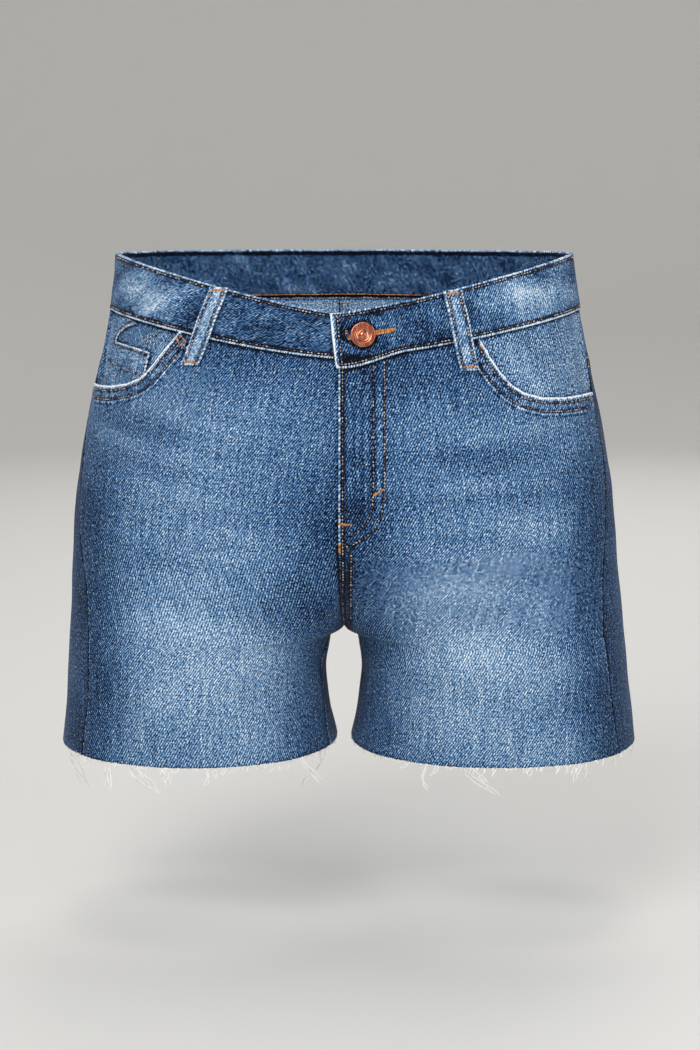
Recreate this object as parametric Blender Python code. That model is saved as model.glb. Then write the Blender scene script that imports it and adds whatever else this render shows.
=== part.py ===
"""Five-pocket denim shorts with raw, fraying leg openings, filled out as they hang on a wearer.

The origin is the middle of the waist, where the wearer holds the garment up. +Z is up, the front faces -Y and
the wearer's left is +X. Every wall stands for one thickness of denim, or for the folded layers of a band or
loop. A place on the cloth is given by a side, a turn in degrees from the centre front (0) by the side (90) to
the centre back (180), and a height.
"""

import math

import bmesh
import bpy
import numpy as np
from mathutils import Vector

MM = 0.001

# ----------------------------------------------------------------------------------------------------
# Driving sizes, in metres
# ----------------------------------------------------------------------------------------------------

WALL = 1.2 * MM  # one layer of denim
BAND_WALL = 2.6 * MM  # the waistband: two layers and the seam allowances between them
LOOP_WALL = 1.8 * MM  # a belt loop: one strip folded in three
SEAM_GAP = 0.3 * MM  # between two pieces that are sewn edge to edge, at its narrowest
SEAM_TRIM = 0.3 * MM  # off each piece at such a seam, since its edge is square to its own face
BAND_GAP = 0.4 * MM  # between the waistband and what is sewn into it
LAYER_GAP = 0.45 * MM  # between two pieces that lie on each other

BAND_PROUD = 0.8 * MM  # how far the waistband's face stands out from the panels
LAP_RAISE = WALL + SEAM_GAP  # the fly's edge lies on the other front panel
FLY_EASE = (26 * MM, 55 * MM)  # from the fly's edge: where the raised cloth starts and ends its slope
FLY_END = (-168 * MM, -190 * MM)  # heights between which the lap runs out into the crotch seam
UNDERLAY_END = (-148 * MM, -165 * MM)  # heights between which the cloth under the fly runs out
UNDERLAY_TURN = 2.4  # degrees of the other front that lie under the fly

CROTCH_Z = -245 * MM
FORK_FRONT_Z = -165 * MM  # where the front crotch curve leaves the straight centre seam
FORK_BACK_Z = -148 * MM  # the same on the back, whose curve is longer
HEM_Z = -330 * MM
ARCH = 10 * MM  # height over which the space between the legs opens out
INSEAM_REACH = 32 * MM  # height below the crotch over which the inseam moves off the middle of the arch
LEG_SPREAD = 1.4  # how much of the front's width goes to the inner thigh, where it becomes a leg
FORK_FILL = 0.06  # how much fuller the cloth stands where it passes from body to legs
FORK_CURVE = (0.5, 2.0)  # how steeply body turns into leg at the centre seams, and further round
FORK_SPREAD = 45  # degrees from the centre seams over which that changes
SHARP_REACH = 0.3  # below this, a fold's direction fades out, between the legs
SIDES = {"right": -1, "left": +1}  # the wearer's right is -X

BAND_FRONT_DIP = 38 * MM  # the waist dips this far from the sides to the centre front
BAND_TOP_Z = 21 * MM  # top edge of the waistband at the sides and back
BAND_BOTTOM_Z = -18 * MM  # lower edge at the sides
BAND_LOW_DIP = 29 * MM  # the same dip along the lower edge
BAND_TOP_CURVE, BAND_LOW_CURVE = 1.07, 1.18  # how these dips are spread over the front
BAND_BACK_RISE = 2.5 * MM  # how far the lower edge rises from the sides to the centre back
END_DROOP = 6.5 * MM  # the buttoned end hangs a little lower than the band beside it
END_DROOP_RUN = 46 * MM
FRONT_TURNS = 60  # what changes the middle of the front only is left out beyond this turn
OVERLAP_TURN = -0.8  # the buttoned end reaches this far past the centre seam, in degrees
OVERLAP_SLANT = 0.5  # and this much further at its top than at its middle
UNDERLAP_TURN = -8.0  # the other end reaches this far under it
OVERLAP_RAISE = BAND_WALL + SEAM_GAP
OVERLAP_EASE = (9.5, 17.0)  # degrees from the centre over which the upper end comes down onto the body

YOKE_SIDE_Z = -50 * MM  # the yoke's lower edge at the side seam
YOKE_CENTRE_DROP = 30 * MM  # and how much lower it is at the centre back
YOKE_TURNS = (75, 180)  # between which it drops

# ----------------------------------------------------------------------------------------------------
# The form, as short tables, with lengths in mm and turns in degrees
# ----------------------------------------------------------------------------------------------------


def table(columns, *rows):
    """A table with named columns, each an array."""
    return {name: np.array(values, float) for name, values in zip(columns, zip(*rows))}


# Horizontal sections of the body. right and left are the half widths, front and back the depths at the centre
# seams, mid the depth of the widest point, centre the place of the centre seam, seam_right and seam_left the
# turns at which the side seams cross, and square the exponent of the rounded oval.
LEVELS = table(
    ("z", "right", "left", "front", "back", "mid", "centre", "seam_right", "seam_left", "square"),
    (30, 160.0, 159.6, 85, 88, 0, -4.0, 87, 87, 2.15),
    (0, 163.2, 163.1, 93, 94, 0, -4.0, 86, 85, 2.20),
    (-45, 171.5, 171.5, 101, 104, 2, -4.0, 83, 79, 2.30),
    (-90, 183.0, 181.5, 107, 117, 5, -4.0, 80, 74, 2.40),
    (-130, 189.8, 189.6, 110, 126, 8, -4.0, 76, 73, 2.45),
    (-170, 195.0, 194.3, 111, 129, 10, -4.0, 71, 68, 2.45),
    (-205, 196.5, 197.2, 109, 128, 11, -3.0, 67, 66, 2.40),
    (-240, 198.8, 201.2, 107, 124, 12, -0.8, 66, 66, 2.30),
    (-285, 201.6, 206.0, 103, 116, 12, -0.8, 65, 67, 2.20),
    (-330, 206.0, 211.6, 100, 110, 11, -0.8, 67, 69, 2.15),
)

# Horizontal sections of one leg: half the space between the legs, the depths in front of and behind the
# middle of the leg, the depth of the innermost point, and the turn by which the inseam lies in front of it.
LEG_LEVELS = table(
    ("z", "space", "front", "back", "inner", "inseam_right", "inseam_left"),
    (-150, 8.5, 97, 122, 8, 0, 0),
    (-200, 8.5, 99, 121, 8, 0, 0),
    (-245, 8.5, 100, 117, 8, 1, 0),
    (-258, 10.3, 100, 115, 9, 3.8, 1.4),
    (-276, 12.8, 99, 112, 10, 2.3, 0.6),
    (-294, 11.3, 98, 110, 10, 2.2, 0.6),
    (-312, 9.2, 97, 108, 10, 2.6, 0.8),
    (-330, 4.8, 96, 106, 10, 3.2, 1.0),
)

# Soft troughs where the cloth drags: the turn and height of the middle, the half lengths along and across,
# how much the trough climbs towards the back, and its depth.
FOLDS = table(
    ("side", "turn", "z", "half_turn", "half_z", "climb", "depth"),
    (-1, 38, -101, 27, 9, 14.0, 1.5),
    (-1, 34, -126, 27, 9, 9.5, 1.4),
    (-1, 28, -151, 23, 9, 5.0, 1.0),
    (-1, 40, -214, 15, 10, 6.5, 0.9),
    (+1, 30, -114, 25, 9, 2.0, 1.5),
    (+1, 31, -145, 20, 9, 0.0, 1.4),
    (+1, 25, -168, 16, 8, 0.5, 1.0),
    (+1, 22, -188, 15, 9, 1.0, 0.9),
    (-1, 112, -142, 24, 12, -10, 1.3),
    (+1, 110, -138, 25, 12, -11, 1.3),
    (-1, 140, -218, 24, 12, 12, 1.8),
    (+1, 138, -221, 25, 12, 13, 1.7),
    (-1, 163, -240, 12, 9, 10, 1.2),
    (+1, 162, -238, 13, 9, 11, 1.3),
)

# The mouth of each front pocket, as distances from the middle of the garment and heights.
POCKET_MOUTHS = {
    -1: table(
        ("x", "z"),
        (110.5, -28.0),
        (121.7, -41.5),
        (134.5, -56.8),
        (140.2, -62.4),
        (149.8, -66.6),
        (161.3, -69.4),
        (172.4, -70.2),
        (190.0, -70.0),
    ),
    +1: table(
        ("x", "z"),
        (90.0, -33.0),
        (100.1, -49.6),
        (106.0, -57.8),
        (114.3, -66.7),
        (122.7, -71.8),
        (134.8, -75.4),
        (150.9, -76.4),
        (170.4, -75.5),
        (190.0, -73.5),
    ),
}

# ----------------------------------------------------------------------------------------------------
# The form, as functions
# ----------------------------------------------------------------------------------------------------


def ease(value, low, high):
    """0 up to low and 1 from high on, with a smooth slope between them. low may be the larger of the two."""
    share = np.clip((value - low) / (high - low), 0, 1)
    return share * share * (3 - 2 * share)


def read(levels, column, z):
    """A column of a table at the heights z, in metres, on a smooth curve through its rows."""
    heights, values = levels["z"][::-1] * MM, levels[column][::-1]
    slopes = np.gradient(values, heights)
    z = np.clip(z, heights[0], heights[-1])
    below = np.clip(np.searchsorted(heights, z) - 1, 0, len(heights) - 2)
    step = heights[below + 1] - heights[below]
    share = (z - heights[below]) / step
    return (
        values[below] * (1 + 2 * share) * (1 - share) ** 2
        + values[below + 1] * share**2 * (3 - 2 * share)
        + step * slopes[below] * share * (1 - share) ** 2
        - step * slopes[below + 1] * share**2 * (1 - share)
    )


def power(value, exponent):
    return np.sign(value) * np.abs(value) ** exponent


def side_name(side):
    return "right" if side < 0 else "left"


def fork_share(turn, z):
    """0 where the section is one oval round the body, 1 where it is a leg. At the centre seams it follows
    the curve of the crotch, which ends level; further round it changes gently."""
    top = FORK_FRONT_Z + (FORK_BACK_Z - FORK_FRONT_Z) * np.clip(turn, 0, 180) / 180
    fallen = np.clip((top - z) / (top - CROTCH_Z), 0, 1)
    from_seam = np.clip(np.minimum(turn, 180 - turn) / FORK_SPREAD, 0, 1)
    at_seam, beside = FORK_CURVE
    return 1 - (1 - fallen**2) ** (at_seam + (beside - at_seam) * np.sin(np.pi / 2 * from_seam) ** 2)


def fold_depth(side, turn, z):
    """How far the troughs of the table press the cloth in, in metres."""
    total = np.zeros(np.broadcast(turn, z).shape)
    for row in zip(*FOLDS.values()):
        fold = dict(zip(FOLDS, row))
        if fold["side"] != side:
            continue
        along = (turn - fold["turn"]) / fold["half_turn"]
        across = (z / MM - fold["z"] - fold["climb"] * along) / fold["half_z"]
        total = total + fold["depth"] * MM * np.exp(-(along**2) - across**2)
    return total


def body(side, turn, z):
    """Points on the outer face of the cloth, at a turn in degrees and a height in metres."""
    turn, z = np.broadcast_arrays(np.asarray(turn, float), np.asarray(z, float))
    angle = np.radians(turn)
    roundness = 2 / read(LEVELS, "square", z)
    front, back, mid, centre = (read(LEVELS, name, z) * MM for name in ("front", "back", "mid", "centre"))
    outer = side * read(LEVELS, side_name(side), z) * MM
    across = power(np.sin(angle), roundness)
    deep = power(np.cos(angle), roundness)
    torso = centre + (outer - centre) * across, mid - np.where(deep > 0, mid + front, back - mid) * deep
    space, leg_front, leg_back, inner_y = (
        read(LEG_LEVELS, name, z) * MM for name in ("space", "front", "back", "inner")
    )
    opened = 1 - np.clip((CROTCH_Z - z) / ARCH, 0, 1)
    inner = centre + side * space * np.sqrt(1 - opened**2)
    share = np.abs(across) ** LEG_SPREAD
    swell = np.sign(deep * across) * (1 - np.abs(1 - 2 * share) ** (2 / roundness)) ** (roundness / 2)
    line = inner_y + (mid - inner_y) * share
    leg_deep = np.where(swell > 0, line + leg_front, leg_back - line)
    leg = inner + (outer - inner) * share, line - leg_deep * swell
    legs = fork_share(turn, z)
    x, y = (one * (1 - legs) + two * legs for one, two in zip(torso, leg))
    y = y * (1 + FORK_FILL * 4 * legs * (1 - legs) * np.abs(across) ** 0.5 * deep**2)
    out_x = side * (across * (1 - legs) - (1 - 2 * share) * legs)
    out_y = -deep * (1 - legs) - swell * legs
    reach = np.maximum(np.hypot(out_x, out_y), SHARP_REACH)
    pressed = fold_depth(side, turn, z)
    return np.stack([x - pressed * out_x / reach, y - pressed * out_y / reach, z], axis=-1)


def seam_turn(side, z):
    """The turn at which the side seam crosses height z."""
    return read(LEVELS, "seam_" + side_name(side), z)


def inner_turn(side, z):
    """The turn of the front panel's inner edge: the centre seam, and the inseam below the crotch."""
    leg = read(LEG_LEVELS, "inseam_" + side_name(side), z)
    return np.where(z < CROTCH_Z, leg * ease(z, CROTCH_Z, CROTCH_Z - INSEAM_REACH), 0)


def share_across(turn):
    """How far across the front a turn lies: 0 at the centre seam, 1 at the side and all round the back."""
    return np.sin(np.radians(np.clip(turn, 0, 90)))


def band_top(side, turn):
    return BAND_TOP_Z - BAND_FRONT_DIP * (1 - share_across(turn) ** BAND_TOP_CURVE)


def band_bottom(side, turn):
    """The seam under the waistband. On the buttoned side it hangs lower near the end of the band."""
    dip = BAND_BOTTOM_Z - BAND_LOW_DIP * (1 - share_across(turn) ** BAND_LOW_CURVE)
    rise = BAND_BACK_RISE * ease(turn, 90, 180)
    if side < 0:
        return dip + rise
    from_end = np.abs(body(side, turn, BAND_BOTTOM_Z - BAND_LOW_DIP)[..., 0])
    from_end = np.where(turn < 0, 0, from_end)
    droop = END_DROOP * (1 - ease(from_end, 0, END_DROOP_RUN))
    return dip + rise - np.where(turn < FRONT_TURNS, droop, 0)


def pocket_line(side, turn):
    """The height of the pocket mouth at each turn, and the top of the waistband where there is none. It is
    found in a few steps, since the height at which a turn lies on the mouth depends on how far out the cloth
    is."""
    mouth = POCKET_MOUTHS[side]
    z = np.full(np.shape(turn), mouth["z"].mean() * MM)
    for _ in range(12):
        x = np.abs(body(side, turn, z)[..., 0])
        z = np.interp(x, mouth["x"] * MM, mouth["z"] * MM)
    return np.where(x < mouth["x"][0] * MM, BAND_TOP_Z, z)


def yoke_line(side, turn):
    """The seam between yoke and back panel, lowest at the centre back."""
    return YOKE_SIDE_Z - YOKE_CENTRE_DROP * ease(turn, *YOKE_TURNS)


# ----------------------------------------------------------------------------------------------------
# Cloth
# ----------------------------------------------------------------------------------------------------


def unit(vectors):
    return vectors / np.maximum(np.linalg.norm(vectors, axis=-1, keepdims=True), 1e-12)


def normals(side, turn, z):
    """Outward directions, square to the cloth, from steps of a degree and of 2 mm."""
    across = body(side, turn + 0.5, z) - body(side, turn - 0.5, z)
    up = body(side, turn, z + 1 * MM) - body(side, turn, z - 1 * MM)
    return unit(np.cross(across, up)) * side


def layer(side, turn, z, distance=0.0):
    """Points at a distance out from the cloth's own face. The distance may be an array."""
    return body(side, turn, z) + normals(side, turn, z) * np.asarray(distance)[..., None]


def trimming(grid, first=0, last=0, top=0, bottom=0):
    """How to move a grid's border columns and rows inwards, so that sewn edges stay apart."""
    move = np.zeros_like(grid)
    move[:, 0] += unit(grid[:, 1] - grid[:, 0]) * first
    move[:, -1] += unit(grid[:, -2] - grid[:, -1]) * last
    move[0] += unit(grid[1] - grid[0]) * top
    move[-1] += unit(grid[-2] - grid[-1]) * bottom
    return move


def cells(rows, columns, first=0):
    """Two triangles for each cell of a grid whose points are numbered row by row."""
    numbers = np.arange(rows * columns).reshape(rows, columns) + first
    here, below, beside, across = numbers[:-1, :-1], numbers[1:, :-1], numbers[:-1, 1:], numbers[1:, 1:]
    faces = np.stack([np.stack([here, below, across], -1), np.stack([here, across, beside], -1)])
    return faces.reshape(-1, 3)


def add(name, points, faces, material):
    """A new object. The faces are turned the right way round by Blender."""
    mesh = bpy.data.meshes.new(name)
    mesh.from_pydata(points.tolist(), [], faces.tolist())
    shape = bmesh.new()
    shape.from_mesh(mesh)
    bmesh.ops.recalc_face_normals(shape, faces=shape.faces)
    shape.to_mesh(mesh)
    shape.free()
    mesh.shade_smooth()
    mesh.set_sharp_from_angle(angle=math.radians(40))
    mesh.materials.append(material)
    piece = bpy.data.objects.new(name, mesh)
    bpy.context.scene.collection.objects.link(piece)
    return piece


def cloth(name, outer, inner, material, **trims):
    """One piece of cloth between two grids of points, its outer and inner face."""
    rows, columns = outer.shape[:2]
    move = trimming(outer, **trims)
    points = np.concatenate([(outer + move).reshape(-1, 3), (inner + move).reshape(-1, 3)])
    count = rows * columns
    numbers = np.arange(count).reshape(rows, columns)
    border = np.concatenate([numbers[0, :-1], numbers[:-1, -1], numbers[-1, :0:-1], numbers[:0:-1, 0]])
    after = np.roll(border, -1)
    edge = np.concatenate(
        [np.stack([after + count, after, border], -1), np.stack([border + count, after + count, border], -1)]
    )
    faces = np.concatenate([cells(rows, columns), cells(rows, columns, count)[:, ::-1], edge])
    return add(name, points, faces, material)


def finish(name, colour, roughness, metallic=0.0):
    material = bpy.data.materials.new(name)
    material.use_nodes = True
    shader = material.node_tree.nodes["Principled BSDF"]
    shader.inputs["Base Color"].default_value = (*colour, 1)
    shader.inputs["Roughness"].default_value = roughness
    shader.inputs["Metallic"].default_value = metallic
    return material


# ----------------------------------------------------------------------------------------------------
# The panels
# ----------------------------------------------------------------------------------------------------

COLUMNS = 15
CROWDING = 1.6  # brings a front's columns together towards the centre, and a back's too
TOP_ROWS, FORK_ROWS, YOKE_ROWS = 6, 6, 4
LEG_DROPS = np.array([0, 1.0, 3.5, 8, 15, 27, 43, 62, 85]) * MM  # of the rows below the crotch, next to it
NEAR_CROTCH = (4, 26)  # degrees from the centre seam over which the rows become evenly spaced


def panel_heights(top, turn):
    """Heights of a panel's rows, for each column's top and turn. Next to the crotch they stand close
    together, since the cloth turns level there."""
    near = 1 - ease(np.minimum(turn, 180 - turn), *NEAR_CROTCH)
    down = np.linspace(0, 1, TOP_ROWS, endpoint=False)[:, None]
    upper = top + (FORK_FRONT_Z - top) * down
    down = np.linspace(0, 1, FORK_ROWS, endpoint=False)[:, None]
    fork = FORK_FRONT_Z + (CROTCH_Z - FORK_FRONT_Z) * (down + (np.sin(np.pi / 2 * down) - down) * near)
    even = np.linspace(0, CROTCH_Z - HEM_Z, len(LEG_DROPS))[:, None]
    legs = CROTCH_Z - even - (LEG_DROPS[:, None] - even) * near
    return np.concatenate([upper, fork, legs])


def panel(side, top_line, first_turn, last_turn):
    """Turns and heights of a panel between two edges, each a function of height, under a line, a function of
    the turn. Its columns stand closer together towards the centre seam."""
    share = np.linspace(0, 1, COLUMNS) ** CROWDING
    if last_turn(CROTCH_Z) > 90:
        share = 1 - share[::-1]
    turn = first_turn(BAND_BOTTOM_Z) + (last_turn(BAND_BOTTOM_Z) - first_turn(BAND_BOTTOM_Z)) * share
    for _ in range(6):
        top = top_line(side, turn)
        turn = first_turn(top) + (last_turn(top) - first_turn(top)) * share
    z = panel_heights(top, turn)
    return first_turn(z) + (last_turn(z) - first_turn(z)) * share, z


def front_top(side, turn):
    return np.minimum(band_bottom(side, turn), pocket_line(side, turn))


def fly_raise(turn, z):
    """How far the buttoned side's front stands out: it lies on the other front at the fly."""
    from_edge = body(+1, turn, z)[..., 0] - body(+1, inner_turn(+1, z), z)[..., 0]
    raised = LAP_RAISE * (1 - ease(from_edge, *FLY_EASE)) * (1 - ease(z, *FLY_END))
    return np.where(turn < FRONT_TURNS, raised, 0)


def under_edge(z):
    """The turn of the other front's edge, which lies under the fly."""
    return inner_turn(-1, z) - UNDERLAY_TURN * (1 - ease(z, *UNDERLAY_END))


def make_fronts(denim):
    turn, z = panel(+1, front_top, lambda z: inner_turn(+1, z), lambda z: seam_turn(+1, z))
    raised = fly_raise(turn, z)
    outer, inner = layer(+1, turn, z, raised), layer(+1, turn, z, raised - WALL)
    cloth("front_left", outer, inner, denim, first=SEAM_TRIM, last=SEAM_TRIM, top=BAND_GAP)
    turn, z = panel(-1, front_top, under_edge, lambda z: seam_turn(-1, z))
    outer, inner = layer(-1, turn, z), layer(-1, turn, z, -WALL)
    cloth("front_right", outer, inner, denim, first=SEAM_TRIM, last=SEAM_TRIM, top=BAND_GAP)


def back_panel(side):
    return panel(side, yoke_line, lambda z: seam_turn(side, z), lambda z: 180 + inner_turn(side, z))


def make_backs(denim):
    for name, side in SIDES.items():
        turn, z = back_panel(side)
        outer, inner = layer(side, turn, z), layer(side, turn, z, -WALL)
        cloth("back_" + name, outer, inner, denim, first=SEAM_TRIM, last=SEAM_TRIM, top=SEAM_TRIM)


def make_yokes(denim):
    for name, side in SIDES.items():
        _, lower = back_panel(side)
        share = 1 - np.linspace(1, 0, COLUMNS) ** CROWDING
        first = seam_turn(side, BAND_BOTTOM_Z)
        upper = band_bottom(side, first + (180 - first) * share)
        z = upper + (lower[0] - upper) * np.linspace(0, 1, YOKE_ROWS)[:, None]
        first = seam_turn(side, z)
        turn = first + (180 - first) * share
        outer, inner = layer(side, turn, z), layer(side, turn, z, -WALL)
        trims = {"first": SEAM_TRIM, "last": SEAM_TRIM, "top": BAND_GAP, "bottom": SEAM_TRIM}
        cloth("yoke_" + name, outer, inner, denim, **trims)


# ----------------------------------------------------------------------------------------------------
# Front pockets
# ----------------------------------------------------------------------------------------------------

FACING_UNDER = 14 * MM  # how far the facing runs on under the pocket mouth
FACING_LEAST = 4 * MM  # its least height below the waistband, before that
FACING_ROWS, FACING_COLUMNS = 8, 11
COIN_ROWS, COIN_COLUMNS = 5, 13  # across and along the coin pocket
COIN_FROM_SEAM = 0.8  # degrees that it stays clear of the side seam
COIN_WALL = 1.0 * MM
COIN_DEPTH = WALL + 0.75 * MM  # from the front's face in to the coin pocket's
# How far in the facings lie: on one side the coin pocket is between.
FACING_INSET = {-1: COIN_DEPTH + COIN_WALL + 0.65 * MM, +1: WALL + LAYER_GAP}

# The coin pocket is one cloth round a slanting mouth. Each row gives a point on the mouth and one on the
# outer edge opposite, as distances from the middle of the garment and heights.
COIN_POCKET = table(
    ("mouth_x", "mouth_z", "outer_x", "outer_z"),
    (-145.4, -25.5, -152.0, -22.6),
    (-153.0, -28.2, -161.0, -21.6),
    (-159.8, -33.6, -167.4, -26.0),
    (-162.1, -39.1, -169.5, -42.0),
    (-154.5, -40.3, -170.0, -75.0),
    (-144.4, -42.3, -153.0, -76.0),
    (-134.9, -44.7, -141.5, -72.0),
)


def make_facings(denim):
    for name, side in SIDES.items():
        start = POCKET_MOUTHS[side]["x"][0] * MM
        turns = np.linspace(20, 89, 300)
        line = np.abs(body(side, turns, band_bottom(side, turns))[..., 0])
        first = turns[np.argmax(line > start - FACING_UNDER)]
        share = np.linspace(0, 1, FACING_COLUMNS)
        turn = first + (seam_turn(side, BAND_BOTTOM_Z) - first) * share
        low = np.minimum(pocket_line(side, turn), band_bottom(side, turn) - FACING_LEAST) - FACING_UNDER
        down = np.linspace(0, 1, FACING_ROWS)[:, None]
        z = band_bottom(side, turn) * (1 - down) + low * down
        turn = first + (seam_turn(side, z) - first) * share
        outer = layer(side, turn, z, -FACING_INSET[side])
        inner = layer(side, turn, z, -FACING_INSET[side] - WALL)
        cloth("pocket_facing_" + name, outer, inner, denim, last=SEAM_TRIM, top=BAND_GAP)


def turn_of(side, x, z):
    """The turn on the front at which the cloth is at x, at each height."""
    turns = np.linspace(0, 89.5, 500)
    reached = [np.abs(body(side, turns, at)[..., 0]) for at in z]
    return np.array([np.interp(abs(one), line, turns) for one, line in zip(x, reached)])


def make_coin_pocket(denim):
    given = range(len(COIN_POCKET["mouth_x"]))
    along = np.linspace(0, given[-1], COIN_COLUMNS)
    edge = {name: np.interp(along, given, values) * MM for name, values in COIN_POCKET.items()}
    share = np.linspace(0, 1, COIN_ROWS)[:, None]
    x = edge["mouth_x"] * (1 - share) + edge["outer_x"] * share
    z = edge["mouth_z"] * (1 - share) + edge["outer_z"] * share
    turn = np.minimum([turn_of(-1, *row) for row in zip(x, z)], seam_turn(-1, z) - COIN_FROM_SEAM)
    outer = layer(-1, turn, z, -COIN_DEPTH)
    inner = layer(-1, turn, z, -COIN_DEPTH - COIN_WALL)
    cloth("coin_pocket", outer, inner, denim)


# ----------------------------------------------------------------------------------------------------
# Back pockets
# ----------------------------------------------------------------------------------------------------

BACK_POCKET = {"width": 128 * MM, "foot": 108 * MM, "side": 108 * MM, "point": 20 * MM}
BACK_POCKET_DROP = 16 * MM  # below the yoke seam
BACK_POCKET_CENTRE = 84 * MM  # from the centre back, round the cloth
BACK_POCKET_TILT = 6 * MM  # how much its inner corners stand above its middle
BACK_POCKET_TURN = 140  # where the yoke seam is measured for it


def on_back(side, from_back, z):
    """The point of the cloth at a distance round it from the centre back, at a height."""
    turns = np.linspace(180, 60, 240)
    points = body(side, turns, z)
    lengths = np.concatenate([[0], np.cumsum(np.linalg.norm(np.diff(points, axis=0), axis=1))])
    return body(side, np.interp(from_back, lengths, turns), z)


def back_pocket_cuts(side):
    """The five straight edges of a back pocket, as cuts square to the cloth at its middle."""
    top = yoke_line(side, BACK_POCKET_TURN) - BACK_POCKET_DROP
    half, foot = BACK_POCKET["width"] / 2, BACK_POCKET["foot"] / 2
    low = top - BACK_POCKET["side"]
    outline = [
        (half, top - BACK_POCKET_TILT),
        (-half, top + BACK_POCKET_TILT),
        (-foot, low + BACK_POCKET_TILT),
        (0, low - BACK_POCKET["point"]),
        (foot, low - BACK_POCKET_TILT),
    ]
    corners = np.array([on_back(side, BACK_POCKET_CENTRE + across, z) for across, z in outline])
    middle = corners.mean(axis=0)
    facing = unit(np.cross(corners[0] - corners[3], corners[1] - corners[3]))
    cuts = []
    for here, there in zip(corners, np.roll(corners, -1, axis=0)):
        beyond = np.cross(there - here, facing)
        cuts.append((here, beyond * np.sign(((here - middle) * beyond).sum())))
    return cuts


def make_back_pockets(denim):
    """Each is cut out of the back panel's own facets, moved out, so that it lies on them all over."""
    for name, side in SIDES.items():
        turn, z = back_panel(side)
        over = layer(side, turn, z, LAYER_GAP)
        piece = add("back_pocket_" + name, over.reshape(-1, 3), cells(*over.shape[:2]), denim)
        shape = bmesh.new()
        shape.from_mesh(piece.data)
        for corner, beyond in back_pocket_cuts(side):
            whole = shape.verts[:] + shape.edges[:] + shape.faces[:]
            bmesh.ops.bisect_plane(
                shape, geom=whole, dist=0.05 * MM, plane_co=corner, plane_no=beyond, clear_outer=True
            )
        if sum(face.normal.y for face in shape.faces) < 0:
            bmesh.ops.reverse_faces(shape, faces=shape.faces)
        shape.to_mesh(piece.data)
        shape.free()
        solid = piece.modifiers.new("wall", "SOLIDIFY")
        solid.thickness = WALL
        solid.offset = 1


# ----------------------------------------------------------------------------------------------------
# Waistband, belt loops and button
# ----------------------------------------------------------------------------------------------------

BAND_STEP = 6.0  # degrees between the waistband's columns
BAND_ROWS = 4

LOOP_WIDTH = 13 * MM
LOOP_BELOW = 20 * MM  # how far a loop reaches below the waistband
LOOP_SWELL = 1.6 * MM  # how far its middle stands off the waistband
LOOP_START = 0.5 * MM  # below the waistband's top edge
LOOP_FREE = 0.7  # the share of its length that stands off
LOOP_ONTO_PANEL = (0.66, 0.78)  # and the shares between which it comes down from the band onto the panel
LOOP_ROWS = 9
# Where the top and the foot of each loop are, as turns.
LOOPS = {
    "belt_loop_front_right": (-1, 28.0, 33.2),
    "belt_loop_front_left": (+1, 24.9, 26.3),
    "belt_loop_back_right": (-1, 122.0, 120.0),
    "belt_loop_back_left": (+1, 122.0, 120.0),
    "belt_loop_back_centre": (+1, 179.0, 179.0),
}


def half_band(side, turns, raised):
    """The outer and inner face of one half of the waistband."""
    share = np.linspace(0, 1, BAND_ROWS)[:, None]
    z = band_top(side, turns) * (1 - share) + band_bottom(side, turns) * share
    turn, raised = (values + np.zeros_like(z) for values in (turns, raised))
    turn[:, 0] -= OVERLAP_SLANT * (1 - 2 * share[:, 0]) * (side > 0)
    return [layer(side, turn, z, BAND_PROUD + raised - depth) for depth in (0, BAND_WALL)]


def make_waistband(denim):
    """One long strip: from the buttoned end round the wearer's left, the back and the right, and on under the
    buttoned end."""
    fine = BAND_STEP / 2
    left = np.concatenate([[OVERLAP_TURN, 0.6], np.arange(fine, 24, fine), np.arange(24, 180, BAND_STEP)])
    right = np.concatenate([np.arange(180, 18, -BAND_STEP), np.arange(18, -6, -fine), [UNDERLAP_TURN]])
    upper = half_band(+1, left, OVERLAP_RAISE * (1 - ease(left, *OVERLAP_EASE)))
    lower = half_band(-1, right, 0.0)
    outer, inner = (np.concatenate(halves, axis=1) for halves in zip(upper, lower))
    cloth("waistband", outer, inner, denim)


def make_belt_loops(denim):
    down = np.linspace(0, 1, LOOP_ROWS)[:, None]
    for name, (side, top_turn, foot_turn) in LOOPS.items():
        turn = top_turn + (foot_turn - top_turn) * down
        top, foot = band_top(side, turn) - LOOP_START, band_bottom(side, turn) - LOOP_BELOW
        z = top * (1 - down) + foot * down
        degree = np.linalg.norm(body(side, turn + 1, z) - body(side, turn, z), axis=-1)
        turn = turn + LOOP_WIDTH / degree * np.linspace(-0.5, 0.5, 3)
        z = z + np.zeros_like(turn)
        over_band = BAND_PROUD * (1 - ease(down, *LOOP_ONTO_PANEL))
        swell = LOOP_SWELL * np.sin(np.pi * np.clip(down / LOOP_FREE, 0, 1)) ** 2
        under = LAYER_GAP + over_band + swell + np.zeros_like(turn)
        cloth(name, layer(side, turn, z, under + LOOP_WALL), layer(side, turn, z, under), denim)


BUTTON_TURN = 3.9
BUTTON_RISE = 1.2 * MM  # above the middle of the band
# The button's profile from the middle of its face outwards, round the rim and down to its neck.
BUTTON_PROFILE = table(
    ("radius", "height"),
    (0.0, 3.1),
    (2.2, 3.0),
    (3.4, 2.4),
    (4.4, 2.2),
    (5.0, 2.7),
    (6.9, 2.9),
    (8.0, 2.6),
    (8.5, 1.9),
    (8.2, 1.2),
    (4.2, 0.9),
    (4.0, 0.0),
    (0.0, 0.0),
)
BUTTON_STEPS = 24


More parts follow.
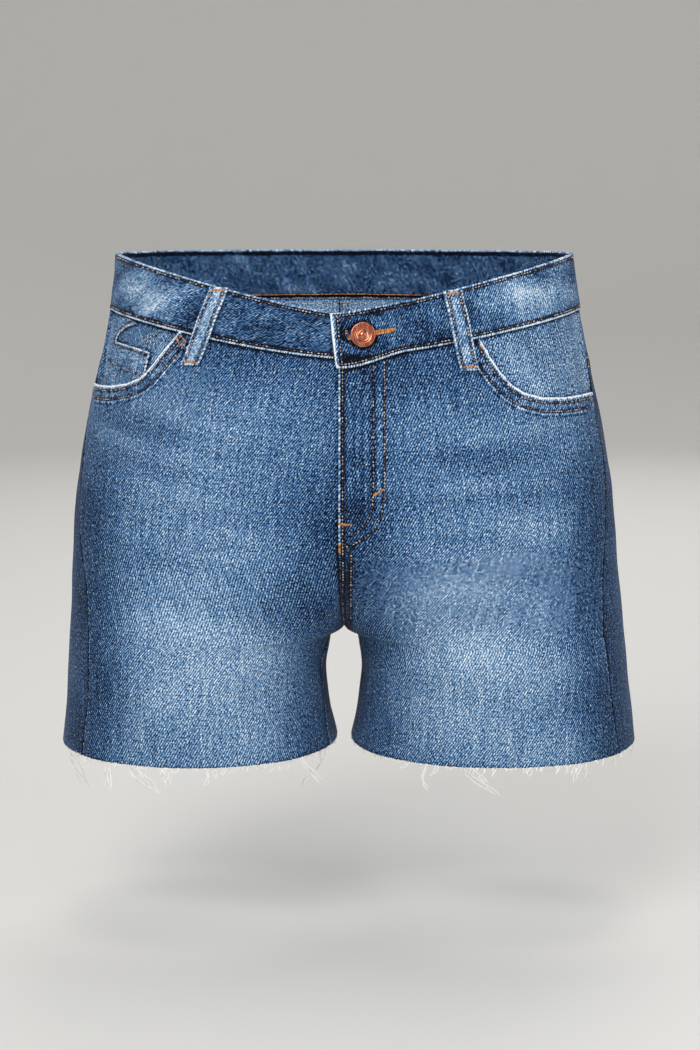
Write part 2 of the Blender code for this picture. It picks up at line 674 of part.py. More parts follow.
def make_button(copper):
    """A tack button turned about its own axis, standing on the band's buttoned end."""
    height = (band_top(+1, BUTTON_TURN) + band_bottom(+1, BUTTON_TURN)) / 2 + BUTTON_RISE
    place = layer(+1, BUTTON_TURN, height, BAND_PROUD + OVERLAP_RAISE + SEAM_GAP)

    shape = bmesh.new()
    radii, heights = BUTTON_PROFILE["radius"] * MM, BUTTON_PROFILE["height"] * MM
    profile = [shape.verts.new((radius, 0, high)) for radius, high in zip(radii, heights)]
    edges = [shape.edges.new(pair) for pair in zip(profile, profile[1:])]
    bmesh.ops.spin(
        shape, geom=profile + edges, cent=(0, 0, 0), axis=(0, 0, 1), angle=2 * math.pi, steps=BUTTON_STEPS
    )
    bmesh.ops.remove_doubles(shape, verts=shape.verts, dist=0.01 * MM)
    bmesh.ops.recalc_face_normals(shape, faces=shape.faces)
    mesh = bpy.data.meshes.new("button")
    shape.to_mesh(mesh)
    shape.free()
    mesh.shade_smooth()
    mesh.materials.append(copper)
    button = bpy.data.objects.new("button", mesh)
    bpy.context.scene.collection.objects.link(button)
    button.location = place
    button.rotation_mode = "QUATERNION"
    button.rotation_quaternion = Vector(normals(+1, BUTTON_TURN, height)).to_track_quat("Z", "Y")


# ----------------------------------------------------------------------------------------------------
# Fringe
# ----------------------------------------------------------------------------------------------------

STRIP_HEIGHT = 1.2 * MM
STRIP_WALL = 0.9 * MM
STRAND_WIDTH = 0.8 * MM
STRAND_STEPS = 3
STRAND_TAPER = 0.2  # of its width, at each step
STRAND_BEND = 0.25  # how far a strand curves, as a share of its length
HEM_INSET = 0.15 * MM  # from the cloth's face in to the strip's
# The turns at which the strip bends and has no strand, between the legs.
INNER_TURNS = [-1.0, 0.0, 0.8, 2.0, 3.4, 172.8, 174.6, 176.2, 177.6, 178.6]
# The short strands between the longest on the front: where, how far apart and how near to a long one, in
# degrees, and their length, how much it varies, and how much they lean, in mm.
SHORT = {"first": 20, "last": 72, "step": 4.5, "apart": 1.2, "length": 5, "varies": 3, "lean": 1.5}
# The strands round the back: their number, the turns between which they hang, the least length and how much
# more the longest have, and how much they lean.
BACK_STRANDS = {"number": 17, "first": 86, "last": 171, "length": 4, "more": 16, "lean": 3.5}
# The longest loose threads on the front: where they leave the edge, as a turn, their length, and how far
# towards the wearer's left they reach, in mm.
STRANDS = table(
    ("side", "turn", "length", "lean"),
    (-1, 5.0, 17, -5),
    (-1, 8.4, 28, -10),
    (-1, 11.5, 20, 13),
    (-1, 14.0, 8, -2),
    (-1, 32.8, 13, -1),
    (-1, 41.2, 15, 0),
    (-1, 43.5, 9, 6),
    (-1, 50.0, 18, 14),
    (-1, 51.7, 22, 21),
    (-1, 56.1, 21, -3),
    (-1, 57.6, 12, -2),
    (-1, 77.0, 33, 15),
    (+1, 7.6, 6, 3),
    (+1, 17.0, 6, -8),
    (+1, 20.4, 22, 1),
    (+1, 22.6, 9, -6),
    (+1, 27.8, 21, 24),
    (+1, 30.0, 12, 9),
    (+1, 32.6, 8, -4),
    (+1, 42.7, 7, -1),
    (+1, 52.0, 7, -2),
    (+1, 55.4, 14, -5),
    (+1, 57.2, 12, -4),
    (+1, 63.0, 6, 0),
)


def strands_of(side, chance):
    """Turn, length and lean of every strand of a leg, in order round it."""
    rows = STRANDS["side"] == side
    strands = [tuple(row) for row in zip(*(STRANDS[name][rows] for name in ("turn", "length", "lean")))]
    for turn in np.arange(SHORT["first"], SHORT["last"], SHORT["step"]) + chance.uniform(-1, 1):
        if min(abs(turn - strand[0]) for strand in strands) > SHORT["apart"]:
            length = SHORT["length"] + SHORT["varies"] * chance.uniform(-1, 1)
            strands.append((turn, length, chance.normal(0, SHORT["lean"])))
    back = BACK_STRANDS
    for number in range(back["number"]):
        along = (number + chance.uniform(0.2, 0.8)) / back["number"]
        turn = back["first"] + (back["last"] - back["first"]) * along
        length = back["length"] + back["more"] * chance.random() ** 2
        strands.append((turn, length, chance.normal(0, back["lean"])))
    return np.array(sorted(strands))


def make_fringes(thread):
    """The frayed weft of each raw edge: a narrow strip just under the cloth, from which loose threads hang.
    Each thread is drawn out of the strip's underside, one face at a time."""
    chance = np.random.default_rng(7)
    for name, side in SIDES.items():
        strands = strands_of(side, chance)
        at = strands[:, 0]
        degree = np.linalg.norm(body(side, at + 0.5, HEM_Z) - body(side, at - 0.5, HEM_Z), axis=-1)
        half = STRAND_WIDTH / degree / 2
        turns = np.sort(np.concatenate([at - half, at + half, INNER_TURNS]))
        roots = np.searchsorted(turns, at) - 1
        hem = body(side, turns, HEM_Z)
        outward = unit(normals(side, turns, HEM_Z) * [1, 1, 0])
        rows = np.array([SEAM_GAP, SEAM_GAP + STRIP_HEIGHT])[:, None, None] * [0, 0, -1]
        outer = hem - outward * HEM_INSET + rows
        inner = outer - outward * STRIP_WALL

        shape = bmesh.new()
        rings = [[shape.verts.new(point) for point in line] for line in (*outer, *inner)]
        count = len(turns)
        under = []
        for one in range(count):
            two = (one + 1) % count
            outer_top, outer_low, inner_top, inner_low = rings
            shape.faces.new((outer_top[one], outer_top[two], outer_low[two], outer_low[one]))
            shape.faces.new((inner_top[two], inner_top[one], inner_low[one], inner_low[two]))
            shape.faces.new((outer_top[two], outer_top[one], inner_top[one], inner_top[two]))
            under.append(shape.faces.new((outer_low[one], outer_low[two], inner_low[two], inner_low[one])))
        for root, (_, length, lean) in zip(roots, strands):
            bend = chance.normal(0, STRAND_BEND, 2) * length
            face = under[root]
            for step in range(1, STRAND_STEPS + 1):
                face = bmesh.ops.extrude_discrete_faces(shape, faces=[face])["faces"][0]
                share = step / STRAND_STEPS
                sway = bend * (share - 0.6)
                move = np.array([lean + sway[0], sway[1], -length]) * MM / STRAND_STEPS
                bmesh.ops.translate(shape, verts=face.verts, vec=move)
                middle = face.calc_center_median()
                for vert in face.verts:
                    vert.co = middle + (vert.co - middle) * (1 - STRAND_TAPER * share)
        bmesh.ops.recalc_face_normals(shape, faces=shape.faces)
        mesh = bpy.data.meshes.new("fringe_" + name)
        shape.to_mesh(mesh)
        shape.free()
        mesh.materials.append(thread)
        bpy.context.scene.collection.objects.link(bpy.data.objects.new("fringe_" + name, mesh))


# ----------------------------------------------------------------------------------------------------
# The garment
# ----------------------------------------------------------------------------------------------------


def main():
    for thing in list(bpy.data.objects):
        bpy.data.objects.remove(thing)
    denim = finish("denim", (0.10, 0.22, 0.42), 0.9)
    copper = finish("copper", (0.72, 0.36, 0.24), 0.3, 1.0)
    thread = finish("thread", (0.93, 0.88, 0.84), 0.9)
    make_fronts(denim)
    make_backs(denim)
    make_yokes(denim)
    make_facings(denim)
    make_coin_pocket(denim)
    make_back_pockets(denim)
    make_waistband(denim)
    make_belt_loops(denim)
    make_button(copper)
    make_fringes(thread)


main()
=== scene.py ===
# %% [markdown]
# # Denim shorts
# This file dresses a rigid model of a pair of denim cut-offs. The model already has every sewn piece at its
# real place and size, so nothing here moves it. What is missing is what makes it look like cloth: the twill,
# the washed and worn colours, the soft creases, thousands of stitches and the frayed edges.
#
# The notes before the cells say what each piece is, and why it is made in that way.

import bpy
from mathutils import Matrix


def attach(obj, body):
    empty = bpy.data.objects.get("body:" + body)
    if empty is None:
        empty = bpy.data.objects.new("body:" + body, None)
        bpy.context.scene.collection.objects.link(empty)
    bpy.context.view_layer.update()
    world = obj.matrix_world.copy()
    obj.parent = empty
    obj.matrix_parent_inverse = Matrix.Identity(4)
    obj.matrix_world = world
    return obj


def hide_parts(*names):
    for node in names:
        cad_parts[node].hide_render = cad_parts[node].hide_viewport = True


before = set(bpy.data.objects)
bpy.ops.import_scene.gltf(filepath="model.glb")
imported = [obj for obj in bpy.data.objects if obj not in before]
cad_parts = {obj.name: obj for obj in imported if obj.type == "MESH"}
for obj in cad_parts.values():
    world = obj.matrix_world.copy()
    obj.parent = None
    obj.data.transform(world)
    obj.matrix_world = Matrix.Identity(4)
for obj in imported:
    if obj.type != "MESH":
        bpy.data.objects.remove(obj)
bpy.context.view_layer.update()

# %% Modules and units
import math

import bpy
import numpy as np
from mathutils import Vector
from mathutils.bvhtree import BVHTree
from mathutils.kdtree import KDTree

MM = 0.001
SIDES = {"right": -1, "left": +1}  # the wearer's right is -X

# %% [markdown]
# ## The form
# Worn shorts are two tubes that grow out of one. A place on the cloth is given by a side, a turn in degrees
# from the centre front (0) by the side (90) to the centre back (180), and a height. A few short tables hold
# the widths and depths of level sections, and a formula joins them. The solids come from the same tables, so
# a fine surface made from them lies exactly where the coarse one does, and every stitch and crease can be
# placed by turn and height.

# %% Sizes of the form
WALL, BAND_WALL, LOOP_WALL, COIN_WALL = 1.2 * MM, 2.6 * MM, 1.8 * MM, 1.0 * MM
SEAM_GAP, LAYER_GAP = 0.3 * MM, 0.45 * MM
BAND_PROUD = 0.8 * MM
LAP_RAISE = WALL + SEAM_GAP
FLY_EASE = (26 * MM, 55 * MM)
FLY_END = (-168 * MM, -190 * MM)
UNDERLAY_END = (-148 * MM, -165 * MM)
UNDERLAY_TURN = 2.4
CROTCH_Z = -245 * MM
FORK_FRONT_Z, FORK_BACK_Z = -165 * MM, -148 * MM
HEM_Z = -330 * MM
ARCH, INSEAM_REACH = 10 * MM, 32 * MM
LEG_SPREAD = 1.4
FORK_FILL = 0.06
FORK_CURVE, FORK_SPREAD = (0.5, 2.0), 45
SHARP_REACH = 0.3
BAND_FRONT_DIP, BAND_TOP_Z = 38 * MM, 21 * MM
BAND_LOW_DIP, BAND_BOTTOM_Z = 29 * MM, -18 * MM
BAND_TOP_CURVE, BAND_LOW_CURVE = 1.07, 1.18
BAND_BACK_RISE = 2.5 * MM
END_DROOP, END_DROOP_RUN = 6.5 * MM, 46 * MM
FRONT_TURNS = 60
OVERLAP_TURN, OVERLAP_SLANT, UNDERLAP_TURN = -0.8, 0.5, -8.0
OVERLAP_RAISE = BAND_WALL + SEAM_GAP
OVERLAP_EASE = (9.5, 17.0)
YOKE_SIDE_Z, YOKE_CENTRE_DROP, YOKE_TURNS = -50 * MM, 30 * MM, (75, 180)
COIN_DEPTH = WALL + 0.75 * MM
FACING_INSET = {-1: COIN_DEPTH + COIN_WALL + 0.65 * MM, +1: WALL + LAYER_GAP}
FACING_UNDER, FACING_LEAST = 14 * MM, 4 * MM
COIN_FROM_SEAM = 0.8
BACK_POCKET = {"width": 128 * MM, "foot": 108 * MM, "side": 108 * MM, "point": 20 * MM}
BACK_POCKET_DROP, BACK_POCKET_CENTRE, BACK_POCKET_TILT, BACK_POCKET_TURN = 16 * MM, 84 * MM, 6 * MM, 140
LOOP_WIDTH, LOOP_BELOW, LOOP_SWELL, LOOP_START = 13 * MM, 20 * MM, 1.6 * MM, 0.5 * MM
LOOP_FREE, LOOP_ONTO_PANEL = 0.7, (0.66, 0.78)
BUTTON_TURN, BUTTON_RISE, BUTTON_RADIUS = 3.9, 1.2 * MM, 8.5 * MM

# %% [markdown]
# A table has named columns and one row for each section, fold or thread. Lengths are in millimetres.

# %% Tables of the form


def table(columns, *rows):
    """A table with named columns, each an array."""
    return {name: np.array(values, float) for name, values in zip(columns, zip(*rows))}


LEVELS = table(
    ("z", "right", "left", "front", "back", "mid", "centre", "seam_right", "seam_left", "square"),
    (30, 160.0, 159.6, 85, 88, 0, -4.0, 87, 87, 2.15),
    (0, 163.2, 163.1, 93, 94, 0, -4.0, 86, 85, 2.20),
    (-45, 171.5, 171.5, 101, 104, 2, -4.0, 83, 79, 2.30),
    (-90, 183.0, 181.5, 107, 117, 5, -4.0, 80, 74, 2.40),
    (-130, 189.8, 189.6, 110, 126, 8, -4.0, 76, 73, 2.45),
    (-170, 195.0, 194.3, 111, 129, 10, -4.0, 71, 68, 2.45),
    (-205, 196.5, 197.2, 109, 128, 11, -3.0, 67, 66, 2.40),
    (-240, 198.8, 201.2, 107, 124, 12, -0.8, 66, 66, 2.30),
    (-285, 201.6, 206.0, 103, 116, 12, -0.8, 65, 67, 2.20),
    (-330, 206.0, 211.6, 100, 110, 11, -0.8, 67, 69, 2.15),
)
LEG_LEVELS = table(
    ("z", "space", "front", "back", "inner", "inseam_right", "inseam_left"),
    (-150, 8.5, 97, 122, 8, 0, 0),
    (-200, 8.5, 99, 121, 8, 0, 0),
    (-245, 8.5, 100, 117, 8, 1, 0),
    (-258, 10.3, 100, 115, 9, 3.8, 1.4),
    (-276, 12.8, 99, 112, 10, 2.3, 0.6),
    (-294, 11.3, 98, 110, 10, 2.2, 0.6),
    (-312, 9.2, 97, 108, 10, 2.6, 0.8),
    (-330, 4.8, 96, 106, 10, 3.2, 1.0),
)
FOLDS = table(
    ("side", "turn", "z", "half_turn", "half_z", "climb", "depth"),
    (-1, 38, -101, 27, 9, 14.0, 1.5),
    (-1, 34, -126, 27, 9, 9.5, 1.4),
    (-1, 28, -151, 23, 9, 5.0, 1.0),
    (-1, 40, -214, 15, 10, 6.5, 0.9),
    (+1, 30, -114, 25, 9, 2.0, 1.5),
    (+1, 31, -145, 20, 9, 0.0, 1.4),
    (+1, 25, -168, 16, 8, 0.5, 1.0),
    (+1, 22, -188, 15, 9, 1.0, 0.9),
    (-1, 112, -142, 24, 12, -10, 1.3),
    (+1, 110, -138, 25, 12, -11, 1.3),
    (-1, 140, -218, 24, 12, 12, 1.8),
    (+1, 138, -221, 25, 12, 13, 1.7),
    (-1, 163, -240, 12, 9, 10, 1.2),
    (+1, 162, -238, 13, 9, 11, 1.3),
)
POCKET_MOUTHS = {
    -1: table(
        ("x", "z"),
        (110.5, -28.0),
        (121.7, -41.5),
        (134.5, -56.8),
        (140.2, -62.4),
        (149.8, -66.6),
        (161.3, -69.4),
        (172.4, -70.2),
        (190.0, -70.0),
    ),
    +1: table(
        ("x", "z"),
        (90.0, -33.0),
        (100.1, -49.6),
        (106.0, -57.8),
        (114.3, -66.7),
        (122.7, -71.8),
        (134.8, -75.4),
        (150.9, -76.4),
        (170.4, -75.5),
        (190.0, -73.5),
    ),
}
COIN_POCKET = table(
    ("mouth_x", "mouth_z", "outer_x", "outer_z"),
    (-145.4, -25.5, -152.0, -22.6),
    (-153.0, -28.2, -161.0, -21.6),
    (-159.8, -33.6, -167.4, -26.0),
    (-162.1, -39.1, -169.5, -42.0),
    (-154.5, -40.3, -170.0, -75.0),
    (-144.4, -42.3, -153.0, -76.0),
    (-134.9, -44.7, -141.5, -72.0),
)
# Each belt loop: its side, and the turns of its top and its foot.
LOOPS = {
    "belt_loop_front_right": (-1, 28.0, 33.2),
    "belt_loop_front_left": (+1, 24.9, 26.3),
    "belt_loop_back_right": (-1, 122.0, 120.0),
    "belt_loop_back_left": (+1, 122.0, 120.0),
    "belt_loop_back_centre": (+1, 179.0, 179.0),
}

# %% [markdown]
# The formula blends one oval round the body into two ovals round the legs. How far it has blended depends on
# the height, and near the centre seams it follows the curve of the crotch.

# %% The surface


def ease(value, low, high):
    """0 up to low and 1 from high on, with a smooth slope between them. low may be the larger of the two."""
    share = np.clip((value - low) / (high - low), 0, 1)
    return share * share * (3 - 2 * share)


def read(levels, column, z):
    """A column of a table at the heights z, in metres, on a smooth curve through its rows."""
    heights, values = levels["z"][::-1] * MM, levels[column][::-1]
    slopes = np.gradient(values, heights)
    z = np.clip(z, heights[0], heights[-1])
    below = np.clip(np.searchsorted(heights, z) - 1, 0, len(heights) - 2)
    step = heights[below + 1] - heights[below]
    share = (z - heights[below]) / step
    return (
        values[below] * (1 + 2 * share) * (1 - share) ** 2
        + values[below + 1] * share**2 * (3 - 2 * share)
        + step * slopes[below] * share * (1 - share) ** 2
        - step * slopes[below + 1] * share**2 * (1 - share)
    )


def power(value, exponent):
    return np.sign(value) * np.abs(value) ** exponent


def side_name(side):
    return "right" if side < 0 else "left"


def fork_share(turn, z):
    """0 where the section is one oval round the body, 1 where it is a leg."""
    top = FORK_FRONT_Z + (FORK_BACK_Z - FORK_FRONT_Z) * np.clip(turn, 0, 180) / 180
    fallen = np.clip((top - z) / (top - CROTCH_Z), 0, 1)
    from_seam = np.clip(np.minimum(turn, 180 - turn) / FORK_SPREAD, 0, 1)
    at_seam, beside = FORK_CURVE
    return 1 - (1 - fallen**2) ** (at_seam + (beside - at_seam) * np.sin(np.pi / 2 * from_seam) ** 2)


def along_and_across(fold, turn, z):
    """Where a place lies on a fold: 0 at its middle line, 1 at its half width."""
    along = (turn - fold["turn"]) / fold["half_turn"]
    return along, (z / MM - fold["z"] - fold["climb"] * along) / fold["half_z"]


def rows_of(folds, side):
    """The rows of a table that lie on one side, as dictionaries."""
    rows = (dict(zip(folds, row)) for row in zip(*folds.values()))
    return [row for row in rows if row["side"] == side]


def fold_depth(folds, side, turn, z):
    """How far the troughs of a table press the cloth in, in metres."""
    total = np.zeros(np.broadcast(turn, z).shape)
    for fold in rows_of(folds, side):
        along, across = along_and_across(fold, turn, z)
        total = total + fold["depth"] * MM * np.exp(-(along**2) - across**2)
    return total


def body(side, turn, z):
    """Points on the outer face of the cloth, at a turn in degrees and a height in metres."""
    turn, z = np.broadcast_arrays(np.asarray(turn, float), np.asarray(z, float))
    angle = np.radians(turn)
    roundness = 2 / read(LEVELS, "square", z)
    front, back, mid, centre = (read(LEVELS, name, z) * MM for name in ("front", "back", "mid", "centre"))
    outer = side * read(LEVELS, side_name(side), z) * MM
    across = power(np.sin(angle), roundness)
    deep = power(np.cos(angle), roundness)
    torso = centre + (outer - centre) * across, mid - np.where(deep > 0, mid + front, back - mid) * deep
    space, leg_front, leg_back, inner_y = (
        read(LEG_LEVELS, name, z) * MM for name in ("space", "front", "back", "inner")
    )
    opened = 1 - np.clip((CROTCH_Z - z) / ARCH, 0, 1)
    inner = centre + side * space * np.sqrt(1 - opened**2)
    share = np.abs(across) ** LEG_SPREAD
    swell = np.sign(deep * across) * (1 - np.abs(1 - 2 * share) ** (2 / roundness)) ** (roundness / 2)
    line = inner_y + (mid - inner_y) * share
    leg_depth = np.where(swell > 0, line + leg_front, leg_back - line)
    leg = inner + (outer - inner) * share, line - leg_depth * swell
    legs = fork_share(turn, z)
    x, y = (one * (1 - legs) + two * legs for one, two in zip(torso, leg))
    y = y * (1 + FORK_FILL * 4 * legs * (1 - legs) * np.abs(across) ** 0.5 * deep**2)
    out_x = side * (across * (1 - legs) - (1 - 2 * share) * legs)
    out_y = -deep * (1 - legs) - swell * legs
    reach = np.maximum(np.hypot(out_x, out_y), SHARP_REACH)
    pressed = fold_depth(FOLDS, side, turn, z)
    return np.stack([x - pressed * out_x / reach, y - pressed * out_y / reach, z], axis=-1)


# %% [markdown]
# Seams and edges are lines on the form. Each is a function that gives the turn at a height, or the height at
# a turn.

# %% Lines on the surface


def seam_turn(side, z):
    """The turn at which the side seam crosses height z."""
    return read(LEVELS, "seam_" + side_name(side), z)


def inner_turn(side, z):
    """The turn of the front panel's inner edge: the centre seam, and the inseam below the crotch."""
    leg = read(LEG_LEVELS, "inseam_" + side_name(side), z)
    return np.where(z < CROTCH_Z, leg * ease(z, CROTCH_Z, CROTCH_Z - INSEAM_REACH), 0)


def share_across(turn):
    """How far across the front a turn lies: 0 at the centre seam, 1 at the side and all round the back."""
    return np.sin(np.radians(np.clip(turn, 0, 90)))


def band_top(side, turn):
    return BAND_TOP_Z - BAND_FRONT_DIP * (1 - share_across(turn) ** BAND_TOP_CURVE)


def band_bottom(side, turn):
    """The seam under the waistband. On the buttoned side it hangs lower near the end of the band."""
    dip = BAND_BOTTOM_Z - BAND_LOW_DIP * (1 - share_across(turn) ** BAND_LOW_CURVE)
    rise = BAND_BACK_RISE * ease(turn, 90, 180)
    if side < 0:
        return dip + rise
    from_end = np.abs(body(side, turn, BAND_BOTTOM_Z - BAND_LOW_DIP)[..., 0])
    from_end = np.where(turn < 0, 0, from_end)
    droop = END_DROOP * (1 - ease(from_end, 0, END_DROOP_RUN))
    return dip + rise - np.where(turn < FRONT_TURNS, droop, 0)


def pocket_line(side, turn):
    """The height of the pocket mouth at each turn, and the top of the waistband where there is none."""
    mouth = POCKET_MOUTHS[side]
    z = np.full(np.shape(turn), mouth["z"].mean() * MM)
    for _ in range(12):  # the height and the place across settle together
        x = np.abs(body(side, turn, z)[..., 0])
        z = np.interp(x, mouth["x"] * MM, mouth["z"] * MM)
    return np.where(x < mouth["x"][0] * MM, BAND_TOP_Z, z)


def front_top(side, turn):
    return np.minimum(band_bottom(side, turn), pocket_line(side, turn))


def yoke_line(side, turn):
    """The seam between yoke and back panel, lowest at the centre back."""
    return YOKE_SIDE_Z - YOKE_CENTRE_DROP * ease(turn, *YOKE_TURNS)


def turn_at(side, x, z):
    """The turn on the front at which the cloth is x from the middle, in metres."""
    turns = np.linspace(0, 89.5, 400)[:, None]
    x, z = np.broadcast_arrays(np.asarray(x, float), np.asarray(z, float))
    reached = np.abs(body(side, turns, z.ravel())[..., 0])
    found = [np.interp(abs(at), line, turns[:, 0]) for at, line in zip(x.ravel(), reached.T)]
    return np.reshape(found, x.shape)


print("hips in mm:", round(2000 * float(np.abs(body(1, 90.0, -0.17)[0]))), "wide")

# %% [markdown]
# ## Cloth
# A piece of cloth starts as a grid of places, each with its turn and height. What happens to the cloth is
# added to the grid in layers: how far it rises or sinks, how pale the wash left it, and how worn it is. Only
# then does it become a closed mesh, with its thickness and with round edges, as folded cloth has.

# %% Small tools for grids


def unit(vectors):
    return vectors / np.maximum(np.linalg.norm(vectors, axis=-1, keepdims=True), 1e-12)


def normals(side, turn, z):
    """Outward directions, square to the cloth."""
    across = body(side, turn + 0.5, z) - body(side, turn - 0.5, z)
    up = body(side, turn, z + 1 * MM) - body(side, turn, z - 1 * MM)
    return unit(np.cross(across, up)) * side


def layer(side, turn, z, distance=0.0):
    """Points at a distance out from the cloth's own face. The distance may be an array."""
    return body(side, turn, z) + normals(side, turn, z) * np.asarray(distance)[..., None]


def lengths(points, axis):
    """How far each point of a grid is from the first one of its row or column, along the cloth."""
    steps = np.linalg.norm(np.diff(points, axis=axis), axis=-1)
    start = np.zeros_like(np.take(steps, [0], axis=axis))
    return np.concatenate([start, np.cumsum(steps, axis=axis)], axis=axis)


def read_at(marks, along, line):
    """What a line of points has at some marks, where along says how far along each of its points is."""
    return np.stack([np.interp(marks, along, column) for column in line.T], -1)


DENSE = 0.7 * MM


def dense(line, spacing=DENSE):
    """A line of points with more points, evenly spaced."""
    along = lengths(line, 0)
    return read_at(np.arange(0, along[-1], spacing), along, line)


def near(points, *lines):
    """How far points are from the nearest of some lines, and how far along the line the nearest place is."""
    marks = np.concatenate([dense(line) for line in lines])
    tree = KDTree(len(marks))
    for number, mark in enumerate(marks):
        tree.insert(mark, number)
    tree.balance()
    found = np.array([tree.find(point)[1:] for point in points.reshape(-1, 3)])
    shape = points.shape[:-1]
    return found[:, 1].reshape(shape), found[:, 0].reshape(shape) * DENSE


# %% [markdown]
# A panel is cut with the grain of the cloth straight down its middle. Places on the flat cloth are measured
# from that line, so the twill runs on over the whole panel, as it was woven.

# %% Places on the flat cloth
WOVEN_TURNS = np.arange(-12.0, 193.0)
WOVEN_HEIGHTS = np.linspace(BAND_TOP_Z + 5 * MM, HEM_Z - 5 * MM, 90)
GRAIN_TURNS = (42.0, 135.0)  # down the middle of a front and of a back, where the grain runs straight


def woven_place(side, turn, z):
    """Where places lie on the flat cloth: how far across from the middle of the panel, seen from outside, and
    how far up."""
    grid = body(side, WOVEN_TURNS, WOVEN_HEIGHTS[:, None])
    around = lengths(grid, 1)
    middle = [int(GRAIN_TURNS[int(turn.mean() > 90)] - WOVEN_TURNS[0])]
    around = side * (around - around[:, middle])
    up = -lengths(grid[:, middle], 0)[:, 0]
    row = np.interp(z, WOVEN_HEIGHTS[::-1], np.arange(len(WOVEN_HEIGHTS))[::-1])
    column = np.clip(turn - WOVEN_TURNS[0], 0, len(WOVEN_TURNS) - 1.001)
    above, left = np.minimum(row.astype(int), len(WOVEN_HEIGHTS) - 2), column.astype(int)
    row, column = row - above, column - left
    upper = around[above, left] * (1 - column) + around[above, left + 1] * column
    lower = around[above + 1, left] * (1 - column) + around[above + 1, left + 1] * column
    return np.stack([upper * (1 - row) + lower * row, np.interp(row + above, range(len(up)), up)], -1)


# %% [markdown]
# Nothing on washed cloth is even. Two kinds of smooth random wave stand for that, with fixed seeds.

# %% Random waves
CIRCLE = 2 * np.pi
WAVER_PARTS = (0.55, 0.8, 1.0, 1.45, 2.3)  # wavelengths of the waves that add up, as shares of the whole
RIPPLE_PARTS = 16


def waver(along, wavelength, seed):
    """A smooth random wave along a line, mostly between -1 and 1."""
    chance = np.random.default_rng(seed)
    total = np.zeros(np.shape(along))
    for share in WAVER_PARTS:
        reach = wavelength * share * chance.uniform(0.9, 1.1)
        total = total + np.sin(CIRCLE * along / reach + chance.uniform(0, CIRCLE))
    return total / 2.2


def ripple(flat, wavelength, seed, stretch=(1, 1)):
    """A smooth random swell over the flat cloth, mostly between -1 and 1."""
    chance = np.random.default_rng(seed)
    total = np.zeros(flat.shape[:-1])
    across, up = flat[..., 0] / stretch[0], flat[..., 1] / stretch[1]
    for _ in range(RIPPLE_PARTS):
        heading = chance.uniform(0, CIRCLE)
        reach = wavelength * chance.uniform(0.7, 1.7)
        place = across * np.cos(heading) + up * np.sin(heading)
        total += np.sin(CIRCLE * place / reach + chance.uniform(0, CIRCLE))
    return total / 4


# %% [markdown]
# The grid, with its layers. `flat` is where each point lies on the cloth before it was sewn, so the weave can
# follow it. The marks say how far each point is from seams and rows of stitches. The material draws lines
# finer than the grid from them, because a distance stays exact between the points of a grid.

# %% A sheet of cloth
RIM_STEPS = 4  # rows of faces that round an edge
RIM_REACH = 0.6 * MM  # how far the round edge goes beyond the face, at most
OVERLAP = 0.1 * MM  # how far the round edges of two sewn pieces pass into each other, so that no light shows
DRAW_REACH = 4 * MM  # how far from an edge the points of a grid make room for its round rim
FAR = 99.0  # a distance in mm at which nothing shows any more
BORDERS = ("first", "last", "top", "bottom")
MARKS = {  # what each mark holds, and what it is far from everything
    "seam": (0.0, FAR, 0.0),  # along the nearest seam, away from it, and its puckers
    "rows": (FAR, FAR, FAR),  # away from its two rows of stitches, and from its raised strip
    "edge": (0.0, FAR, 0.0),  # how rubbed it is; away from a raised thing, and how dark the painted shadow beside it is
    "drawn": (FAR, FAR, FAR),  # away from up to three rows that cross the cloth
}


class Sheet:
    """A grid of places on the cloth, and what is done to it there. It ends where the round edges start."""

    def __init__(self, side, turn, z, distance=0.0, wall=WALL, trim=-OVERLAP, placed=None, flat=None):
        self.side, self.wall, self.inset = side, wall, min(wall / 2, RIM_REACH) + trim
        if placed is None:
            out = normals(side, turn, z)
            points = body(side, turn, z) + out * np.broadcast_to(distance, turn.shape)[..., None]
        else:
            points, out = placed
        self.borders = dict(zip(BORDERS, (points[:, 0], points[:, -1], points[0], points[-1])))
        self.cut = float(lengths(points, 1)[:, -1].max()), float(lengths(points, 0)[-1].max())
        layers = np.concatenate([points, out, turn[..., None], z[..., None]], -1)
        layers = drawn_in(layers, self.inset)
        layers = drawn_in(layers.transpose(1, 0, 2), self.inset).transpose(1, 0, 2)
        self.points, self.out = layers[..., :3], unit(layers[..., 3:6])
        self.turn, self.z = layers[..., 6], layers[..., 7]
        if flat:
            self.flat = flat(side, self.turn, self.z)
        else:
            across, down = lengths(self.points, 1), lengths(self.points, 0)
            self.flat = np.stack([across * (side or 1), down[-1] - down], -1)
        self.rise, self.tone, self.worn, self.drawn_here = (np.zeros(turn.shape) for _ in range(4))
        self.marks = {name: np.full((*turn.shape, 3), far) for name, far in MARKS.items()}
        self.inner_tone = None

    def surface(self):
        """The points with the relief."""
        return self.points + self.out * self.rise[..., None]


def drawn_in(layers, amount):
    """The rows of a grid, with the points near both ends moved inwards, the last ones by the whole amount."""
    along = lengths(layers[..., :3], 1)
    moved = np.empty_like(layers)
    for row, (line, at) in enumerate(zip(layers, along)):
        reach = min(DRAW_REACH, at[-1] / 2)
        start, end = (np.clip(1 - away / reach, 0, 1) for away in (at, at[-1] - at))
        moved[row] = read_at(at + amount * (start - end), at, line)
    return moved


# %% Faces and objects


def numbered(grid):
    """The numbers of a grid's points."""
    return np.arange(grid[..., 0].size).reshape(grid.shape[:2])


def quads(numbers):
    """The faces of a numbered grid."""
    upper, lower = numbers[:-1], numbers[1:]
    return np.stack([upper[:, :-1], lower[:, :-1], lower[:, 1:], upper[:, 1:]], -1).reshape(-1, 4)


